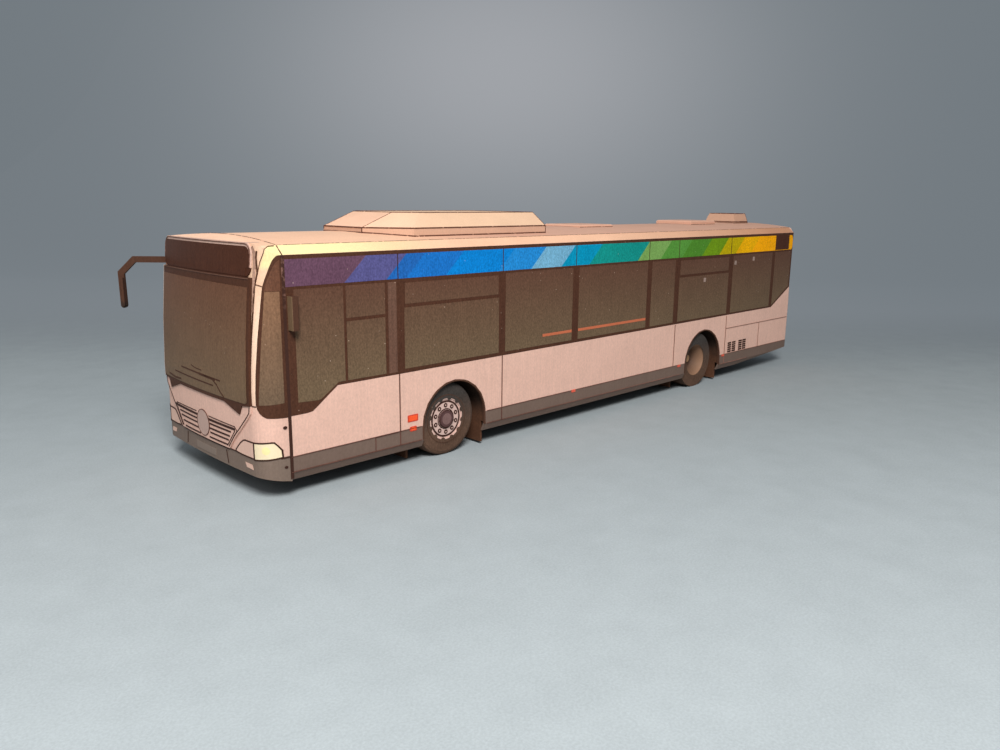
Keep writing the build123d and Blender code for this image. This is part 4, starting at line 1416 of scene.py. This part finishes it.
class CARDBUS_OT_stage(bpy.types.Operator):
    """Set the pale paper sweep, the soft lamps and the camera"""
    bl_idname = "cardbus.stage"
    bl_label = "Stage"

    def execute(self, context):
        scene = context.scene
        # Paper sweep: a floor whose far edge is bent up
        deselect()
        bpy.ops.mesh.primitive_plane_add(size=1)
        sweep = context.object
        sweep.name = sweep.data.name = "paper_sweep"
        sweep.scale = (SWEEP_DEPTH, SWEEP_WIDTH, 1)
        sweep.rotation_euler = (0, 0, math.atan2(FORWARD.y, FORWARD.x))
        sweep.location = CAMERA_FOOT + FORWARD * (BEND_START - SWEEP_DEPTH / 2) + UP * (ROAD - 0.02 * MM)
        settle(sweep)
        far = max(vertex.co.dot(FORWARD) for vertex in sweep.data.vertices)
        select_where(sweep.data, lambda point: point.dot(FORWARD) > far - MM)
        enter("EDIT")
        bpy.ops.mesh.select_mode(type="EDGE")
        bpy.ops.mesh.spin(steps=24, angle=BEND_LEAN, axis=-ACROSS,
                          center=FORWARD * far + UP * (ROAD + BEND_RADIUS))
        rise = FORWARD * math.cos(BEND_LEAN) + UP * math.sin(BEND_LEAN)
        bpy.ops.mesh.extrude_region_move(TRANSFORM_OT_translate={"value": rise * SWEEP_RISE})
        enter("OBJECT")
        bpy.ops.object.shade_smooth()
        sweep.data.materials.append(finish("floor_sheet"))

        deselect()
        for name, (location, target, width, power) in LAMPS.items():
            bpy.ops.object.light_add(type="AREA", location=location)
            lamp = context.object
            lamp.name = name
            lamp.data.size = width
            lamp.data.energy = power
            lamp.rotation_euler = (Vector(target) - lamp.location).to_track_quat("-Z", "Y").to_euler()
            if name == "key_lamp":
                lamp.data.shape = "DISK"
                lamp.data.color = WARM

        world = bpy.data.worlds.new("room")
        scene.world = world
        world.use_nodes = True
        colour, strength = world.node_tree.nodes["Background"].inputs[:2]
        colour.default_value = (0.82, 0.86, 0.9, 1)
        strength.default_value = 0.28

        camera_at = CAMERA_FOOT + UP * CAMERA_HEIGHT
        bpy.ops.object.camera_add(location=camera_at)
        camera = context.object
        camera.name = "camera"
        look = FORWARD * math.cos(CAMERA_TILT) - UP * math.sin(CAMERA_TILT)
        turn = look.to_track_quat("-Z", "Y").to_matrix().to_4x4()
        camera.matrix_world = Matrix.Translation(camera_at) @ turn @ Matrix.Rotation(CAMERA_ROLL, 4, "Z")
        camera.data.sensor_width = 36
        camera.data.lens = LENS
        camera.data.clip_start = 0.001
        scene.camera = camera
        scene.view_settings.view_transform = "Standard"
        return {"FINISHED"}


# ---- Add-on ----------------------------------------------------------------------------------
STEPS = (
    CARDBUS_OT_card_surfaces, CARDBUS_OT_window_bands, CARDBUS_OT_side_glass, CARDBUS_OT_glass_details,
    CARDBUS_OT_stripe, CARDBUS_OT_panel_lines, CARDBUS_OT_front_seams, CARDBUS_OT_arch_edges,
    CARDBUS_OT_side_lamps, CARDBUS_OT_vents, CARDBUS_OT_right_doors, CARDBUS_OT_windscreen,
    CARDBUS_OT_front_sign, CARDBUS_OT_grille, CARDBUS_OT_front_lamps, CARDBUS_OT_corner_windows,
    CARDBUS_OT_bumper_lines, CARDBUS_OT_rear_prints, CARDBUS_OT_wheel_prints, CARDBUS_OT_roof_edges,
    CARDBUS_OT_stage,
)


class CARDBUS_PT_panel(bpy.types.Panel):
    """Steps that finish the card model bus"""
    bl_idname = "CARDBUS_PT_panel"
    bl_label = "Card Bus"
    bl_space_type = "VIEW_3D"
    bl_region_type = "UI"
    bl_category = "Card Bus"

    def draw(self, context):
        for step in STEPS:
            self.layout.operator(step.bl_idname)


GROUPS = {"card_bus_inks": CardBusInks, "card_bus_stripe": CardBusStripe, "card_bus_sizes": CardBusSizes}


def register():
    for key, group in GROUPS.items():
        bpy.utils.register_class(group)
        setattr(bpy.types.Scene, key, PointerProperty(type=group))
    for thing in (*STEPS, CARDBUS_PT_panel):
        bpy.utils.register_class(thing)


def unregister():
    for thing in (CARDBUS_PT_panel, *reversed(STEPS)):
        bpy.utils.unregister_class(thing)
    for key, group in GROUPS.items():
        delattr(bpy.types.Scene, key)
        bpy.utils.unregister_class(group)


def main():
    register()
    for step in STEPS:
        area, name = step.bl_idname.split(".")
        getattr(getattr(bpy.ops, area), name)()


if __name__ == "__main__":
    main()
